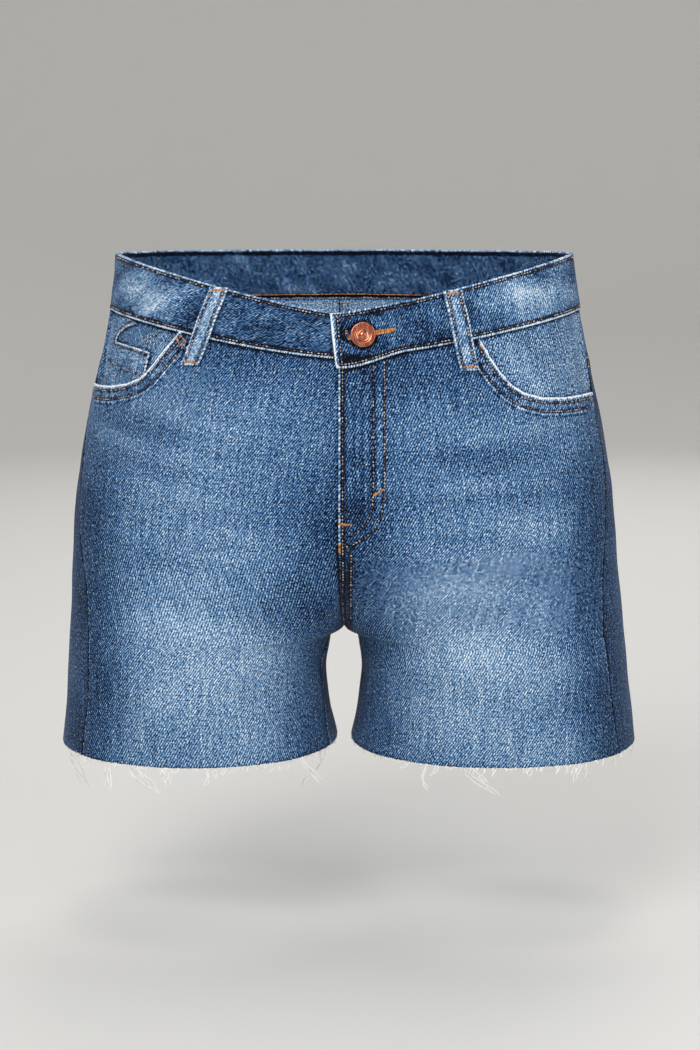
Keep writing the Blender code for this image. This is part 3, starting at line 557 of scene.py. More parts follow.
def border(numbers):
    """The numbers round a grid, in order."""
    return np.concatenate([numbers[0, :-1], numbers[:-1, -1], numbers[-1, :0:-1], numbers[:0:-1, 0]])


def set_out(name, data):
    """A new object in the scene, at the origin."""
    thing = bpy.data.objects.new(name, data)
    bpy.context.scene.collection.objects.link(thing)
    return thing


def mesh_piece(name, points, faces, material):
    """A smooth mesh whose points already lie in their places."""
    mesh = bpy.data.meshes.new(name)
    mesh.from_pydata(points.tolist(), [], faces)
    mesh.shade_smooth()
    mesh.materials.append(material)
    return set_out(name, mesh)


# %% [markdown]
# A finished sheet becomes two faces a wall apart, joined round their edges by a half round rim. Its layers
# and marks go with it as attributes, and it says how large the cloth was before it was sewn.

# %% From a sheet to closed cloth


def cloth(name, sheet, material):
    """Turns a sheet into a closed mesh with round edges, and stands it in for its node."""
    outer, wall = sheet.surface(), sheet.wall
    out = unit(np.cross(np.gradient(outer, axis=1), np.gradient(outer, axis=0)))
    out = out * np.sign((out * sheet.out).sum(-1, keepdims=True))
    inner = outer - out * wall
    numbers = numbered(outer)
    count, ring = numbers.size, border(numbers)
    sideways = drawn_in(outer, 1 * MM) + drawn_in(outer.transpose(1, 0, 2), 1 * MM).transpose(1, 0, 2)
    beyond = unit((2 * outer - sideways).reshape(-1, 3)[ring])
    middle = (outer - out * wall / 2).reshape(-1, 3)[ring]
    deep, wide = wall / 2 * out.reshape(-1, 3)[ring], min(wall / 2, RIM_REACH) * beyond
    turns = np.pi * np.arange(1, RIM_STEPS + 1) / (RIM_STEPS + 1)
    rims = [middle + np.cos(turn) * deep + np.sin(turn) * wide for turn in turns]
    points = np.concatenate([outer.reshape(-1, 3), inner.reshape(-1, 3), *rims])
    rim_numbers = 2 * count + np.arange(RIM_STEPS * len(ring)).reshape(RIM_STEPS, -1)
    loops = [ring, *rim_numbers, ring + count]
    faces = [quads(numbers), quads(numbers + count)[:, ::-1]]
    for one, two in zip(loops, loops[1:]):
        faces.append(np.stack([one, np.roll(one, -1), np.roll(two, -1), two], -1))
    faces = np.concatenate(faces)
    corner = faces[0]
    facing = np.cross(points[corner[1]] - points[corner[0]], points[corner[2]] - points[corner[0]])
    if (facing * sheet.out[0, 0]).sum() < 0:
        faces = faces[:, ::-1]
    piece = mesh_piece(name, points, faces.tolist(), material)

    def spread(outer_values, inner_values):
        """Values for every vertex: the outer face, the inner face and the rim."""
        outer_values, inner_values = outer_values.reshape(count, -1), inner_values.reshape(count, -1)
        return np.concatenate([outer_values, inner_values, *([outer_values[ring]] * RIM_STEPS)])

    inside = spread(np.zeros(count), np.ones(count))
    tone_within = sheet.tone if sheet.inner_tone is None else sheet.inner_tone
    for title, values in (
        ("tone", spread(sheet.tone, tone_within)),
        ("worn", spread(sheet.worn, sheet.worn * (sheet.inner_tone is not None))),
        ("drawn_here", spread(sheet.drawn_here, sheet.drawn_here)),
        ("inside", inside if sheet.inner_tone is None else np.zeros_like(inside)),
    ):
        piece.data.attributes.new(title, "FLOAT", "POINT").data.foreach_set("value", values.ravel())
    for title, values in sheet.marks.items():
        marks = piece.data.attributes.new(title, "FLOAT_VECTOR", "POINT").data
        marks.foreach_set("vector", spread(values, values).ravel())
    flat = spread(sheet.flat, sheet.flat)
    corners = np.zeros(len(piece.data.loops), int)
    piece.data.loops.foreach_get("vertex_index", corners)
    piece.data.uv_layers.new(name="grain").data.foreach_set("uv", flat[corners].ravel())
    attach(piece, "root")
    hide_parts(name)
    steps_across, steps_down = np.diff(outer, axis=1)[:-1], np.diff(outer, axis=0)[:, :-1]
    cut = sheet.cut
    hung_from = () if name == "waistband" else "waistband"
    print(name, "cut in mm:", [round(1000 * size) for size in cut], "faces:", len(faces))


def beside(sheet, name, distance, start=0.0, end=0.0):
    """A line at a distance from a sheet's border, drawn on the cloth, shortened at its two ends."""
    across = name in ("first", "last")
    points = sheet.points if across else sheet.points.transpose(1, 0, 2)
    points = points[:, ::-1] if name in ("last", "bottom") else points
    run = lengths(points, 1) + sheet.inset
    line = np.array([read_at(distance, at, row) for at, row in zip(run, points)])
    along = lengths(line, 0)
    return line[(along >= start) & (along <= along[-1] - end)]


# %% [markdown]
# ## What wear does to cloth, and where shade is painted
# Denim is dyed only on the outside of its yarns, so wherever it rubs it turns white, and seams are thick and
# rub first. A seam is folded over and sewn down, which leaves a raised strip with a row or two of stitches
# sunk in it. The thread shrinks in the wash and puckers the strip, and the tops of the puckers are bleached.
#
# `sew` marks a seam, `draw` a row that crosses the cloth, and `crease` a table of folds, with painted shade
# in its troughs. Beside something raised a shadow is painted, where the cloth also stays unworn.

# %% Seams and creases
GROOVE, GROOVE_REACH = 0.3 * MM, 1.05 * MM  # how deep a row of stitches sinks, and how wide
PUCKER_LENGTH = 4.2 * MM
SEAMS_APART = 300  # mm between two seams' places in the noise that puckers them
STRIP_EDGE = (-0.7 * MM, 0.9 * MM)  # where the raised strip of a seam falls off, from its width
RIDGE_AT, RIDGE_REACH = 1.8, 0.9  # of a crease: how far beside the trough, and how wide, in half widths


def bell(value, reach):
    return np.exp(-((value / reach) ** 2))


def from_lines(sheet, *lines):
    """How far each point of a sheet is from some lines, and how far along. A name stands for a border."""
    return near(sheet.points, *(sheet.borders[line] if isinstance(line, str) else line for line in lines))


def sew(sheet, line, seed, fell=0.0, rows=(), height=0.5 * MM, pucker=0.2 * MM, wear=0.3, contrast=0.08):
    """Marks a seam along a line or border: a raised strip as wide as fell, and rows at their distances. Wear
    says how white the edge is rubbed, and contrast how much the puckers show."""
    away, along = from_lines(sheet, line)
    wave = waver(along, PUCKER_LENGTH, seed)
    held = bell(away, max(fell, 2.5 * MM))
    sheet.rise += pucker * wave * held
    sheet.tone += 0.5 * contrast * wave * held
    far = np.full(away.shape, FAR)
    strip = far
    if fell:
        sheet.rise += height * (1 - ease(away - fell, *STRIP_EDGE))
        strip = (away - fell) / MM
    for row in rows:
        sheet.rise -= GROOVE * bell(away - row, GROOVE_REACH)
    nearest = away / MM < sheet.marks["seam"][..., 1]
    distances = [(away - row) / MM for row in rows] + [far] * (2 - len(rows)) + [strip]
    seam = [along / MM + SEAMS_APART * seed, away / MM, contrast * held]
    sheet.marks["seam"][nearest] = np.stack(seam, -1)[nearest]
    sheet.marks["rows"][nearest] = np.stack(distances, -1)[nearest]
    sheet.marks["edge"][nearest, 0] = (wear * (0.9 + 0.2 * waver(along, 7 * MM, seed + 1)))[nearest]


def unworn_and_shadowed(sheet, *lines, reach=1.8 * MM, strength=0.2):
    """Paints a shadow beside something raised, where the cloth is also kept unworn."""
    away, along = from_lines(sheet, *lines)
    # a soft painted shadow in the tone here, and in the marks a crisp painted shadow line for the material
    sheet.tone -= 0.6 * strength * bell(away, reach) * (0.9 + 0.2 * waver(along, 6 * MM, 9))
    edge = sheet.marks["edge"]
    nearest = away / MM < edge[..., 1]
    edge[nearest, 1] = (away / MM)[nearest]
    edge[nearest, 2] = strength


def draw(sheet, *lines):
    """Sinks rows of stitches that cross the cloth. The distance to a line is below 0 on one side of it, so
    that it is exact between the points of the grid too."""
    for number, line in enumerate(lines):
        away, along = near(sheet.points, line)
        marks = dense(line)
        at = np.rint(along / DENSE).astype(int)
        beyond = np.cross(sheet.out, np.gradient(marks, axis=0)[at])
        side = np.sign((beyond * (sheet.points - marks[at])).sum(-1))
        sheet.marks["drawn"][..., number] = side * away / MM
        sheet.drawn_here = np.maximum(sheet.drawn_here, 1 - ease(away, 3 * MM, 5 * MM))
        sheet.rise -= GROOVE * bell(away, GROOVE_REACH)


def crease(sheet, folds, deepen=True):
    """Sinks a table of troughs into a sheet, with painted shade in the trough and paler ridges beside it."""
    for fold in rows_of(folds, sheet.side):
        along, across = along_and_across(fold, sheet.turn, sheet.z)
        trough, ridge = bell(across, 1), sum(bell(across + at, RIDGE_REACH) for at in (-RIDGE_AT, RIDGE_AT))
        if deepen:
            sheet.rise -= fold["depth"] * MM * trough * bell(along, 1)
        sheet.tone += 0.05 * fold["depth"] ** 0.7 * (0.7 * ridge - trough) * bell(along, 1)


# %% [markdown]
# These creases are too fine for the model's own walls. Those across the upper thigh fan out from the crotch,
# where the leg bends, and those at the back lie under the seat.

# %% Table of fine creases
CREASES = table(
    ("side", "turn", "z", "half_turn", "half_z", "climb", "depth"),
    (-1, 20, -88, 14, 4, 6, 0.5),
    (-1, 52, -112, 12, 4, 7, 0.45),
    (-1, 24, -113, 12, 3.5, 5, 0.5),
    (-1, 48, -137, 14, 4, 5, 0.4),
    (-1, 18, -139, 11, 3.5, 4, 0.45),
    (-1, 40, -163, 14, 4, 3, 0.4),
    (-1, 20, -174, 12, 4, 2, 0.4),
    (-1, 30, -190, 12, 5, 2, 0.35),
    (-1, 55, -186, 10, 4, 6, 0.3),
    (-1, 58, -95, 12, 4, 5, 0.35),
    (+1, 18, -98, 14, 4, 4, 0.5),
    (+1, 48, -103, 14, 4, 3, 0.4),
    (+1, 20, -128, 14, 4, 2, 0.5),
    (+1, 47, -128, 14, 4, 1, 0.4),
    (+1, 16, -155, 12, 4, 0, 0.5),
    (+1, 44, -157, 12, 4, -1, 0.35),
    (+1, 38, -178, 12, 4, -1, 0.3),
    (+1, 34, -199, 12, 5, 0, 0.3),
    (-1, 122, -122, 20, 5, -8, 0.5),
    (-1, 104, -165, 16, 5, -6, 0.4),
    (-1, 150, -196, 20, 5, 9, 0.7),
    (-1, 128, -238, 18, 5, 8, 0.5),
    (-1, 165, -215, 12, 4, 9, 0.7),
    (-1, 158, -262, 14, 5, 7, 0.5),
    (-1, 148, -285, 18, 6, 4, 0.4),
    (+1, 120, -119, 20, 5, -8, 0.5),
    (+1, 106, -161, 16, 5, -6, 0.4),
    (+1, 151, -199, 20, 5, 9, 0.7),
    (+1, 126, -242, 18, 5, 8, 0.5),
    (+1, 166, -213, 12, 4, 9, 0.7),
    (+1, 157, -265, 14, 5, 7, 0.5),
    (+1, 146, -289, 18, 6, 4, 0.4),
)
print("creases:", len(CREASES["z"]), "and folds:", len(FOLDS["z"]))

# %% [markdown]
# ## Writing node graphs as formulas
# A material for cloth is mostly arithmetic: a tone, plus a bit of weave, plus a bit of noise. Drawn as nodes
# that is hard to read, so a small class wraps a socket and turns `+`, `-` and `*` into Math nodes. The same
# class serves Geometry Nodes.

# %% Sockets with arithmetic


class Wire:
    """An output socket. Arithmetic on it adds Math nodes."""

    def __init__(self, graph, socket):
        self.graph, self.socket = graph, socket

    def math(self, operation, *others):
        return self.graph.math(operation, self, *others)

    def __add__(self, other):
        return self.math("ADD", other)

    def __sub__(self, other):
        return self.math("SUBTRACT", other)

    def __rsub__(self, other):
        return self.graph.math("SUBTRACT", other, self)

    def __mul__(self, other):
        return self.math("MULTIPLY", other)

    __radd__, __rmul__ = __add__, __mul__

    def sine(self):
        return self.math("SINE")

    def at_least(self, other):
        return self.math("MAXIMUM", other)

    def bell(self, reach):
        return (self * self * (-1 / reach**2)).math("EXPONENT")


# %% Graphs


class Graph:
    """A node tree under construction."""

    def __init__(self, tree):
        self.tree = tree

    def plug(self, inputs, sockets):
        """Links the sockets that are given a wire, and sets the others."""
        for key, value in sockets.items():
            if isinstance(value, Wire):
                self.tree.links.new(value.socket, inputs[key])
            else:
                inputs[key].default_value = value

    def add(self, kind, settings=None, sockets=None, output=0):
        """A node: its settings are set first, then its sockets. Gives one output."""
        node = self.tree.nodes.new(kind)
        for name, value in (settings or {}).items():
            if name == "stops":
                set_stops(node.color_ramp, value)
            else:
                setattr(node, name, value)
        self.plug(node.inputs, sockets or {})
        return Wire(self, node.outputs[output]) if node.outputs else None

    def math(self, operation, *values):
        return self.add("ShaderNodeMath", {"operation": operation}, dict(enumerate(values)))

    def attribute(self, title, output="Fac"):
        return self.add("ShaderNodeAttribute", {"attribute_name": title}, output=output)

    def parts(self, title):
        """The three numbers of a vector attribute."""
        vector = self.attribute(title, "Vector")
        return [self.add("ShaderNodeSeparateXYZ", {}, {0: vector}, number) for number in range(3)]


# %% Colours and materials


def linear(red, green, blue):
    """A colour as a screen shows it, 0 to 255, as the linear numbers that shaders use."""
    shares = [value / 255 for value in (red, green, blue)]
    return (*(share / 12.92 if share < 0.04045 else ((share + 0.055) / 1.055) ** 2.4 for share in shares), 1)


def set_stops(ramp, stops):
    """A colour ramp's stops, from {share: (red, green, blue)}."""
    ramp.elements.remove(ramp.elements[-1])
    for number, (share, colour) in enumerate(stops.items()):
        stop = ramp.elements.new(share) if number else ramp.elements[0]
        stop.position, stop.color = share, linear(*colour)


def new_material(name):
    """An empty material, its graph and its surface shader's sockets."""
    material = bpy.data.materials.new(name)
    material.use_nodes = True
    return material, Graph(material.node_tree), material.node_tree.nodes["Principled BSDF"].inputs


# %% [markdown]
# ## Denim
# Denim is a twill: each weft thread passes under more than one warp thread, a step further along in every
# row, which draws fine diagonal lines. The warp is dyed blue and uneven, so it shows as soft upright streaks;
# the weft is white and shines through as specks. One number, the tone, runs from new indigo to bare white,
# and one colour ramp turns it into a colour. The wash, the wear, the weave and the specks all only push that
# number up or down, so they mix as they do on real cloth. The relief stays low and smooth: the specks are
# colour only, because such fine bumps would blur.

# %% The colours of the wash
WASH = {
    0.02: (2, 6, 18),
    0.12: (9, 24, 50),
    0.22: (22, 50, 90),
    0.32: (41, 79, 126),
    0.42: (65, 107, 154),
    0.52: (91, 131, 171),
    0.62: (122, 154, 184),
    0.74: (158, 186, 212),
    0.88: (205, 221, 233),
    1.0: (236, 242, 244),
}
TWILL_PITCH, TWILL_LEAN = 1.62, 57  # mm between the diagonal lines, and degrees that they lean
WRONG_SIDE_TONE = 0.64


def noise(graph, place, size, detail=2.0):
    """Noise from -1/2 to 1/2, with features of a size in mm, or of two: across and along the cloth."""
    wide, tall = size if isinstance(size, tuple) else (size, size)
    per_size = {0: place, 1: (1000 / wide, 1000 / tall, 1)}
    scaled = graph.add("ShaderNodeVectorMath", {"operation": "MULTIPLY"}, per_size)
    return graph.add("ShaderNodeTexNoise", {}, {"Vector": scaled, "Scale": 1.0, "Detail": detail}) - 0.5


# %% [markdown]
# The material draws what is finer than the grid from the marks: the white rubbed edge, the dark line under
# each row of stitches, which is painted shade in its groove and unworn cloth, the puckers, the painted shade
# at the foot of a raised strip, and the painted shadow beside something raised.

# %% What seams do to the colour
PUCKER_SIZE = (3.6, 16)  # along a seam and away from it, in mm as all sizes here
GROOVE_TONE, GROOVE_WIDTH = 0.5, 1.05  # how dark a row's groove is painted, as shade and as unworn cloth, and how wide
RUBBED = (0.7, 1.6)  # from an edge: fully rubbed up to the first, and not at all from the second
RIDGE_WIDTH, FOOT_AT, FOOT_WIDTH = 0.8, 1.3, 1.1  # of a raised strip: its rubbed ridge, and the painted shade at its foot
# how wide the painted shadow line beside something raised is
SHADOW_WIDTH = 1.5


def seam_marks(graph, puckers=3.4):
    """What the seams do: how rubbed the cloth is, how its tone changes with painted shade, and how its height
    does.
    """
    (along, away, puckered), (row_one, row_two, step), (rubbed, shadow_at, shadow_strength), drawn = (
        graph.parts(title) for title in MARKS
    )
    here = graph.attribute("drawn_here")
    lines = [row_one.bell(GROOVE_WIDTH), row_two.bell(GROOVE_WIDTH)]
    lines += [here * line.bell(GROOVE_WIDTH) for line in drawn]
    groove = sum(lines[1:], lines[0])
    sizes = {"X": along * (1 / PUCKER_SIZE[0]), "Y": away * (1 / PUCKER_SIZE[1])}
    place = graph.add("ShaderNodeCombineXYZ", {}, sizes)
    wave = graph.add("ShaderNodeTexNoise", {}, {"Vector": place, "Scale": 1.0, "Detail": 1.0}) - 0.5
    pucker = wave * puckered * puckers
    fade = {"Value": away, "From Min": RUBBED[0], "From Max": RUBBED[1], "To Min": 1.0, "To Max": 0.0}
    edge = graph.add("ShaderNodeMapRange", {"interpolation_type": "SMOOTHSTEP"}, fade)
    ridge = step.bell(RIDGE_WIDTH) * rubbed * 0.5
    # painted shade at the foot of a raised strip
    foot = (step - FOOT_AT).bell(FOOT_WIDTH) * (0.18 - wave * 0.6)
    worn = edge * rubbed + ridge * (wave * 3.0 + 1.0)
    # the tone: puckers, and painted shade in grooves, at the foot of strips and beside raised things
    shade = pucker - groove * GROOVE_TONE - foot - shadow_at.bell(SHADOW_WIDTH) * shadow_strength * 2.2
    return worn, shade, pucker * 4.0 - groove * 0.8


# %% The denim materials
# Sizes in mm, across the cloth and along it where there are two.
SPECK_SIZE, THREAD_SIZE, SLUB_SIZE, BLOTCH_SIZE = 1.2, (1.05, 2.6), (2.2, 30.0), 13.0
WANDER_SIZE, WANDER = 7.0, 4.0  # of the twill's lines: over what size they wander, and by how much
STREAK_SIZE, STREAK_LEANS = (3.0, 17.0), {-28: 0.0, 24: 0.37}  # and each lean's place in the noise


def denim(name, speck=0.88, slub=0.36, blotch=0.10, streak=0.0):
    """Twill whose colour follows the attributes of its piece."""
    material, graph, surface = new_material(name)
    place = graph.add("ShaderNodeUVMap", {"uv_map": "grain"})
    tone, worn, inside = (graph.attribute(title) for title in ("tone", "worn", "inside"))
    edge_worn, seam_shade, seam_height = seam_marks(graph)
    lean, lines = math.radians(TWILL_LEAN), 2000 * math.pi / TWILL_PITCH
    axis = {0: place, 1: (math.sin(lean) * lines, -math.cos(lean) * lines, 0)}
    along = graph.add("ShaderNodeVectorMath", {"operation": "DOT_PRODUCT"}, axis, output="Value")
    specks, threads = (noise(graph, place, size, 0.0) for size in (SPECK_SIZE, THREAD_SIZE))
    twill = (along + noise(graph, place, WANDER_SIZE) * WANDER).sine()
    slubs = noise(graph, place, SLUB_SIZE, 1.0)
    weave = twill * (0.19 + 0.3 * threads) + specks * speck + threads * 0.5
    soft = slubs * slub + noise(graph, place, BLOTCH_SIZE) * blotch
    if streak:
        for turn, start in STREAK_LEANS.items():
            spin = {"Vector": place, "Rotation": (0, 0, math.radians(turn)), "Location": (start, 0, 0)}
            turned = graph.add("ShaderNodeMapping", {}, spin)
            soft = soft + (noise(graph, turned, STREAK_SIZE, 1.0) - 0.05).at_least(0) * streak
    outer = tone + seam_shade + weave + soft + (worn + edge_worn) * (1.0 + 0.7 * specks)
    inner = WRONG_SIDE_TONE + seam_shade * 0.6 + specks * 1.1 - twill * 0.05 + slubs * 0.2
    colour = graph.add("ShaderNodeValToRGB", {"stops": WASH}, {"Fac": outer + (inner - outer) * inside})
    height = twill * 0.3 + threads + seam_height
    bump = graph.add("ShaderNodeBump", {}, {"Strength": 0.3, "Distance": 0.3 * MM, "Height": height})
    graph.plug(surface, {"Base Color": colour, "Normal": bump, "Roughness": 0.9, "Specular IOR Level": 0.15})
    graph.plug(surface, {"Sheen Weight": 0.05, "Sheen Roughness": 0.5})
    return material


panel_denim = denim("panel denim")
band_denim = denim("band denim", blotch=0.45, streak=0.5)
facing_denim = denim("facing denim", speck=1.1, blotch=0.25)

# %% [markdown]
# ## The panels' grids
# Rows follow heights and columns follow turns, crowded together where the cloth turns sharply under the
# crotch, as the coarse model's are. There are ten times as many.

# %% Panel grids
PANEL_COLUMNS, CROWDING = 132, 1.22
TOP_ROWS, FORK_ROWS = 62, 44
LEG_DROPS = np.array([0, 1.0, 3.5, 8, 15, 27, 43, 62, 85]) * MM
LEG_ROWS = 50
NEAR_CROTCH = (4, 26)


def panel_heights(top, turn):
    """Heights of a panel's rows, for each column's top and turn."""
    near_crotch = 1 - ease(np.minimum(turn, 180 - turn), *NEAR_CROTCH)
    upper = top + (FORK_FRONT_Z - top) * np.linspace(0, 1, TOP_ROWS, endpoint=False)[:, None]
    down = np.linspace(0, 1, FORK_ROWS, endpoint=False)[:, None]
    fork = FORK_FRONT_Z + (CROTCH_Z - FORK_FRONT_Z) * (down + (np.sin(np.pi / 2 * down) - down) * near_crotch)
    even = np.linspace(0, CROTCH_Z - HEM_Z, LEG_ROWS)[:, None]
    given = np.arange(len(LEG_DROPS))
    crowded = np.interp(np.linspace(0, given[-1], LEG_ROWS), given, LEG_DROPS)[:, None]
    legs = CROTCH_Z - even - (crowded - even) * near_crotch
    return np.concatenate([upper, fork, legs])


def panel(side, top_line, first_turn, last_turn, backwards=False):
    """Turns and heights of a panel between two edges, each a function of height, under a line."""
    share = np.linspace(0, 1, PANEL_COLUMNS) ** CROWDING
    if backwards:
        share = 1 - share[::-1]

    def turns_at(z):
        return first_turn(z) + (last_turn(z) - first_turn(z)) * share

    turn = turns_at(BAND_BOTTOM_Z)
    for _ in range(6):  # the top and the turns settle together
        top = top_line(side, turn)
        turn = turns_at(top)
    z = panel_heights(top, turn)
    return turns_at(z), z


def fly_raise(turn, z):
    """How far the buttoned side's front stands out: it lies on the other front at the fly."""
    from_edge = body(+1, turn, z)[..., 0] - body(+1, inner_turn(+1, z), z)[..., 0]
    raised = LAP_RAISE * (1 - ease(from_edge, *FLY_EASE)) * (1 - ease(z, *FLY_END))
    return np.where(turn < FRONT_TURNS, raised, 0)


def under_edge(z):
    """The turn of the other front's edge, which lies under the fly."""
    return inner_turn(-1, z) - UNDERLAY_TURN * (1 - ease(z, *UNDERLAY_END))


# %% [markdown]
# ## Belt loops
# A loop is a strip folded in three, stitched along both edges and tacked down at both ends over a folded end.
# The loops come first, because a shadow is painted on the cloth beside them.

# %% Belt loops
LOOP_ROWS, LOOP_COLUMNS = 90, 21
LOOP_TONES = {
    "belt_loop_front_right": 0.62,
    "belt_loop_front_left": 0.55,
    "belt_loop_back_right": 0.40,
    "belt_loop_back_left": 0.40,
    "belt_loop_back_centre": 0.42,
}
LOOP_FOOT = 4 * MM  # height of the folded foot, which is thicker
LOOP_STITCH = 2.3 * MM


def loop_sheet(name, number):
    side, top_turn, foot_turn = LOOPS[name]
    down = np.linspace(0, 1, LOOP_ROWS)[:, None]
    turn = top_turn + (foot_turn - top_turn) * down
    top, foot = band_top(side, turn) - LOOP_START, band_bottom(side, turn) - LOOP_BELOW
    z = top * (1 - down) + foot * down
    degree = np.linalg.norm(body(side, turn + 1, z) - body(side, turn, z), axis=-1)
    turn = turn + LOOP_WIDTH / degree * np.linspace(-0.5, 0.5, LOOP_COLUMNS)
    z = z + np.zeros_like(turn)
    over_band = BAND_PROUD * (1 - ease(down, *LOOP_ONTO_PANEL))
    swell = LOOP_SWELL * np.sin(np.pi * np.clip(down / LOOP_FREE, 0, 1)) ** 2
    under = LAYER_GAP + over_band + swell + np.zeros_like(turn)
    sheet = Sheet(side, turn, z, under + LOOP_WALL, wall=LOOP_WALL, trim=0.0)
    sheet.tone += LOOP_TONES[name] + 0.05 * ripple(sheet.flat, 9 * MM, 240 + number)
    sheet.inner_tone = np.full_like(sheet.tone, 0.3)
    for shift, edge in enumerate(("first", "last")):
        seed = 250 + 2 * number + shift
        sew(sheet, edge, seed, rows=(LOOP_STITCH,), pucker=0.1 * MM, wear=0.18, contrast=0.05)
    ends, _ = from_lines(sheet, "top", "bottom")
    sheet.rise += 0.5 * MM * (1 - ease(ends, LOOP_FOOT - 0.6 * MM, LOOP_FOOT + 0.8 * MM))
    # a painted shade line where the thicker folded foot ends
    sheet.tone -= 0.1 * bell(ends - LOOP_FOOT - 1 * MM, 0.9 * MM)
    sheet.worn += 0.4 * bell(ends, 0.9 * MM)
    return sheet


loops = {name: loop_sheet(name, number) for number, name in enumerate(LOOPS)}
for name, sheet in loops.items():
    cloth(name, sheet, band_denim)
loop_edges = {side: [] for side in SIDES.values()}
for loop in loops.values():
    loop_edges[loop.side] += [loop.borders[edge] for edge in ("first", "last", "bottom")]

# %% [markdown]
# ## Fronts
# Each front runs from the waistband, or the slanting mouth of its pocket, down to the raw hem. The wash left
# the thighs pale. The sides, the crotch and the cloth under the waistband are darker, partly from the wash
# and
# partly as painted shade: the sides turn away from the light, the cloth turns in at the crotch, and the
# waistband casts a shadow. The zip under the fly has rubbed pale upright ridges into the cloth over it.

# %% The wash and the painted shade of the fronts


def spot(x, z, at_x, at_z, half_x, half_z):
    """1 in the middle of an oval patch, fading out at about its half sizes, in mm."""
    return bell(x - at_x, half_x) * bell(z - at_z, half_z)


def front_tone(sheet):
    x, z = sheet.points[..., 0] / MM, sheet.points[..., 2] / MM
    edge = np.abs(body(sheet.side, seam_turn(sheet.side, sheet.z), sheet.z)[..., 0]) / MM
    out = np.abs(x)
    tone = 0.40 + 0.03 * ripple(sheet.flat, 60 * MM, 11 + sheet.side, (1.6, 1))
    tone += 0.19 * spot(out, z, 97, -265, 60, 90)
    tone += 0.05 * spot(x, z, -105, -110, 55, 40)
    # darker towards the side seam: painted shade where the front turns away from the light, and partly the
    # wash
    tone -= 0.21 * ease(out, edge - 42, edge - 4) * ease(z, -60, -150)
    tone -= 0.04 * spot(x, z, -28, -200, 20, 40)
    # darker by the centre seam low down: painted shade where the cloth turns in at the crotch, and partly the
    # wash
    tone -= 0.15 * (1 - ease(out, 8, 60)) * ease(z, -90, -190)
    tone -= 0.07 * spot(x, z, 12, -80, 30, 60)
    tone -= 0.09 * spot(x, z, 3, -158, 22, 40)
    # painted shadow under the waistband
    tone -= 0.11 * (1 - ease(band_bottom(sheet.side, sheet.turn) - sheet.z, 2 * MM, 38 * MM))
    return tone


ZIP_RIDGES = table(
    ("x", "half", "height"),
    (3.6, 1.5, 0.4),
    (8.6, 1.4, 0.4),
    (14.6, 1.3, 0.3),
    (23.2, 1.6, 0.25),
)
ZIP_SPAN = ((-50, -62), (-136, -158))  # heights at which the ridges fade in and out, in mm


def zip_ridges(sheet):
    x, z = sheet.points[..., 0] / MM, sheet.points[..., 2] / MM
    shown = ease(z, *ZIP_SPAN[0]) * (1 - ease(z, *ZIP_SPAN[1]))
    wander = 0.8 * waver(sheet.z, 60 * MM, 5)
    sheet.tone -= 0.12 * shown * (1 - ease(x, 22, 30))
    sheet.tone -= 0.12 * spot(x, z, 9, -148, 7, 8)
    for at, half, height in zip(*ZIP_RIDGES.values()):
        ridge = bell(x - at - wander, half) * shown * (0.75 + 0.3 * waver(sheet.z, 14 * MM, int(at)))
        sheet.rise += height * MM * ridge
        sheet.tone += 0.26 * ridge


# %% [markdown]
# Two rows of stitches hold the zip and its facing under the fly: straight down, then round to the seam like
# the letter J. Below them the two fronts are lapped, and a second row runs beside the lap's edge. The rows
# are lines on the cloth, given by a few points across and up, and used twice: the cloth sinks along them
# here, and the stitches are laid on them later.

# %% Rows of stitches on the fly
LINE_STEP = 2 * MM


def front_line(side, points):
    """A line on a front through points given as x and z in mm."""
    points = np.array(points, float) * MM
    along = lengths(points, 0)
    marks = np.linspace(0, along[-1], max(int(along[-1] / LINE_STEP), 4))
    x, z = read_at(marks, along, points).T
    return body(side, turn_at(side, x, z), z)


INNER_J = [(19.2, -50), (19.2, -138), (18.4, -147), (16.8, -153.5), (14.2, -158.6), (9.2, -162.6)]
INNER_J += [(4.4, -165.5)]
OUTER_J = [(26.5, -50), (26.6, -138), (25.9, -147), (23.6, -154.4), (20.2, -160.8), (14.9, -166.2)]
OUTER_J += [(8.3, -170), (2.3, -173.5)]
CROTCH_ROW = [(4.4, -177), (4.2, -200), (4.2, -243)]
FLY_LINES = [front_line(+1, row) for row in (INNER_J, OUTER_J, CROTCH_ROW)]

# %% [markdown]
# The seams of a front are added one by one: the pocket mouth with its two rows, the waistband's seam, the
# side seam, the hem and, on the wearer's left, the fly.

# %% Front panels
MOUTH_ROWS = (3.6 * MM, 9.6 * MM)
MOUTH_FELL = 11.5 * MM
FLY_EDGE_ROW, FLY_STRIP = 2.6 * MM, 12 * MM  # a row's distance from the lap's edge, and a strip beside it
PLAIN = {"wear": 0.0, "contrast": 0.04}


def mouth_start(side):
    """The column of a front at which its pocket mouth starts."""
    turn, _ = panel(side, front_top, lambda z: inner_turn(side, z), lambda z: seam_turn(side, z))
    return np.argmax(pocket_line(side, turn[0]) < band_bottom(side, turn[0]))


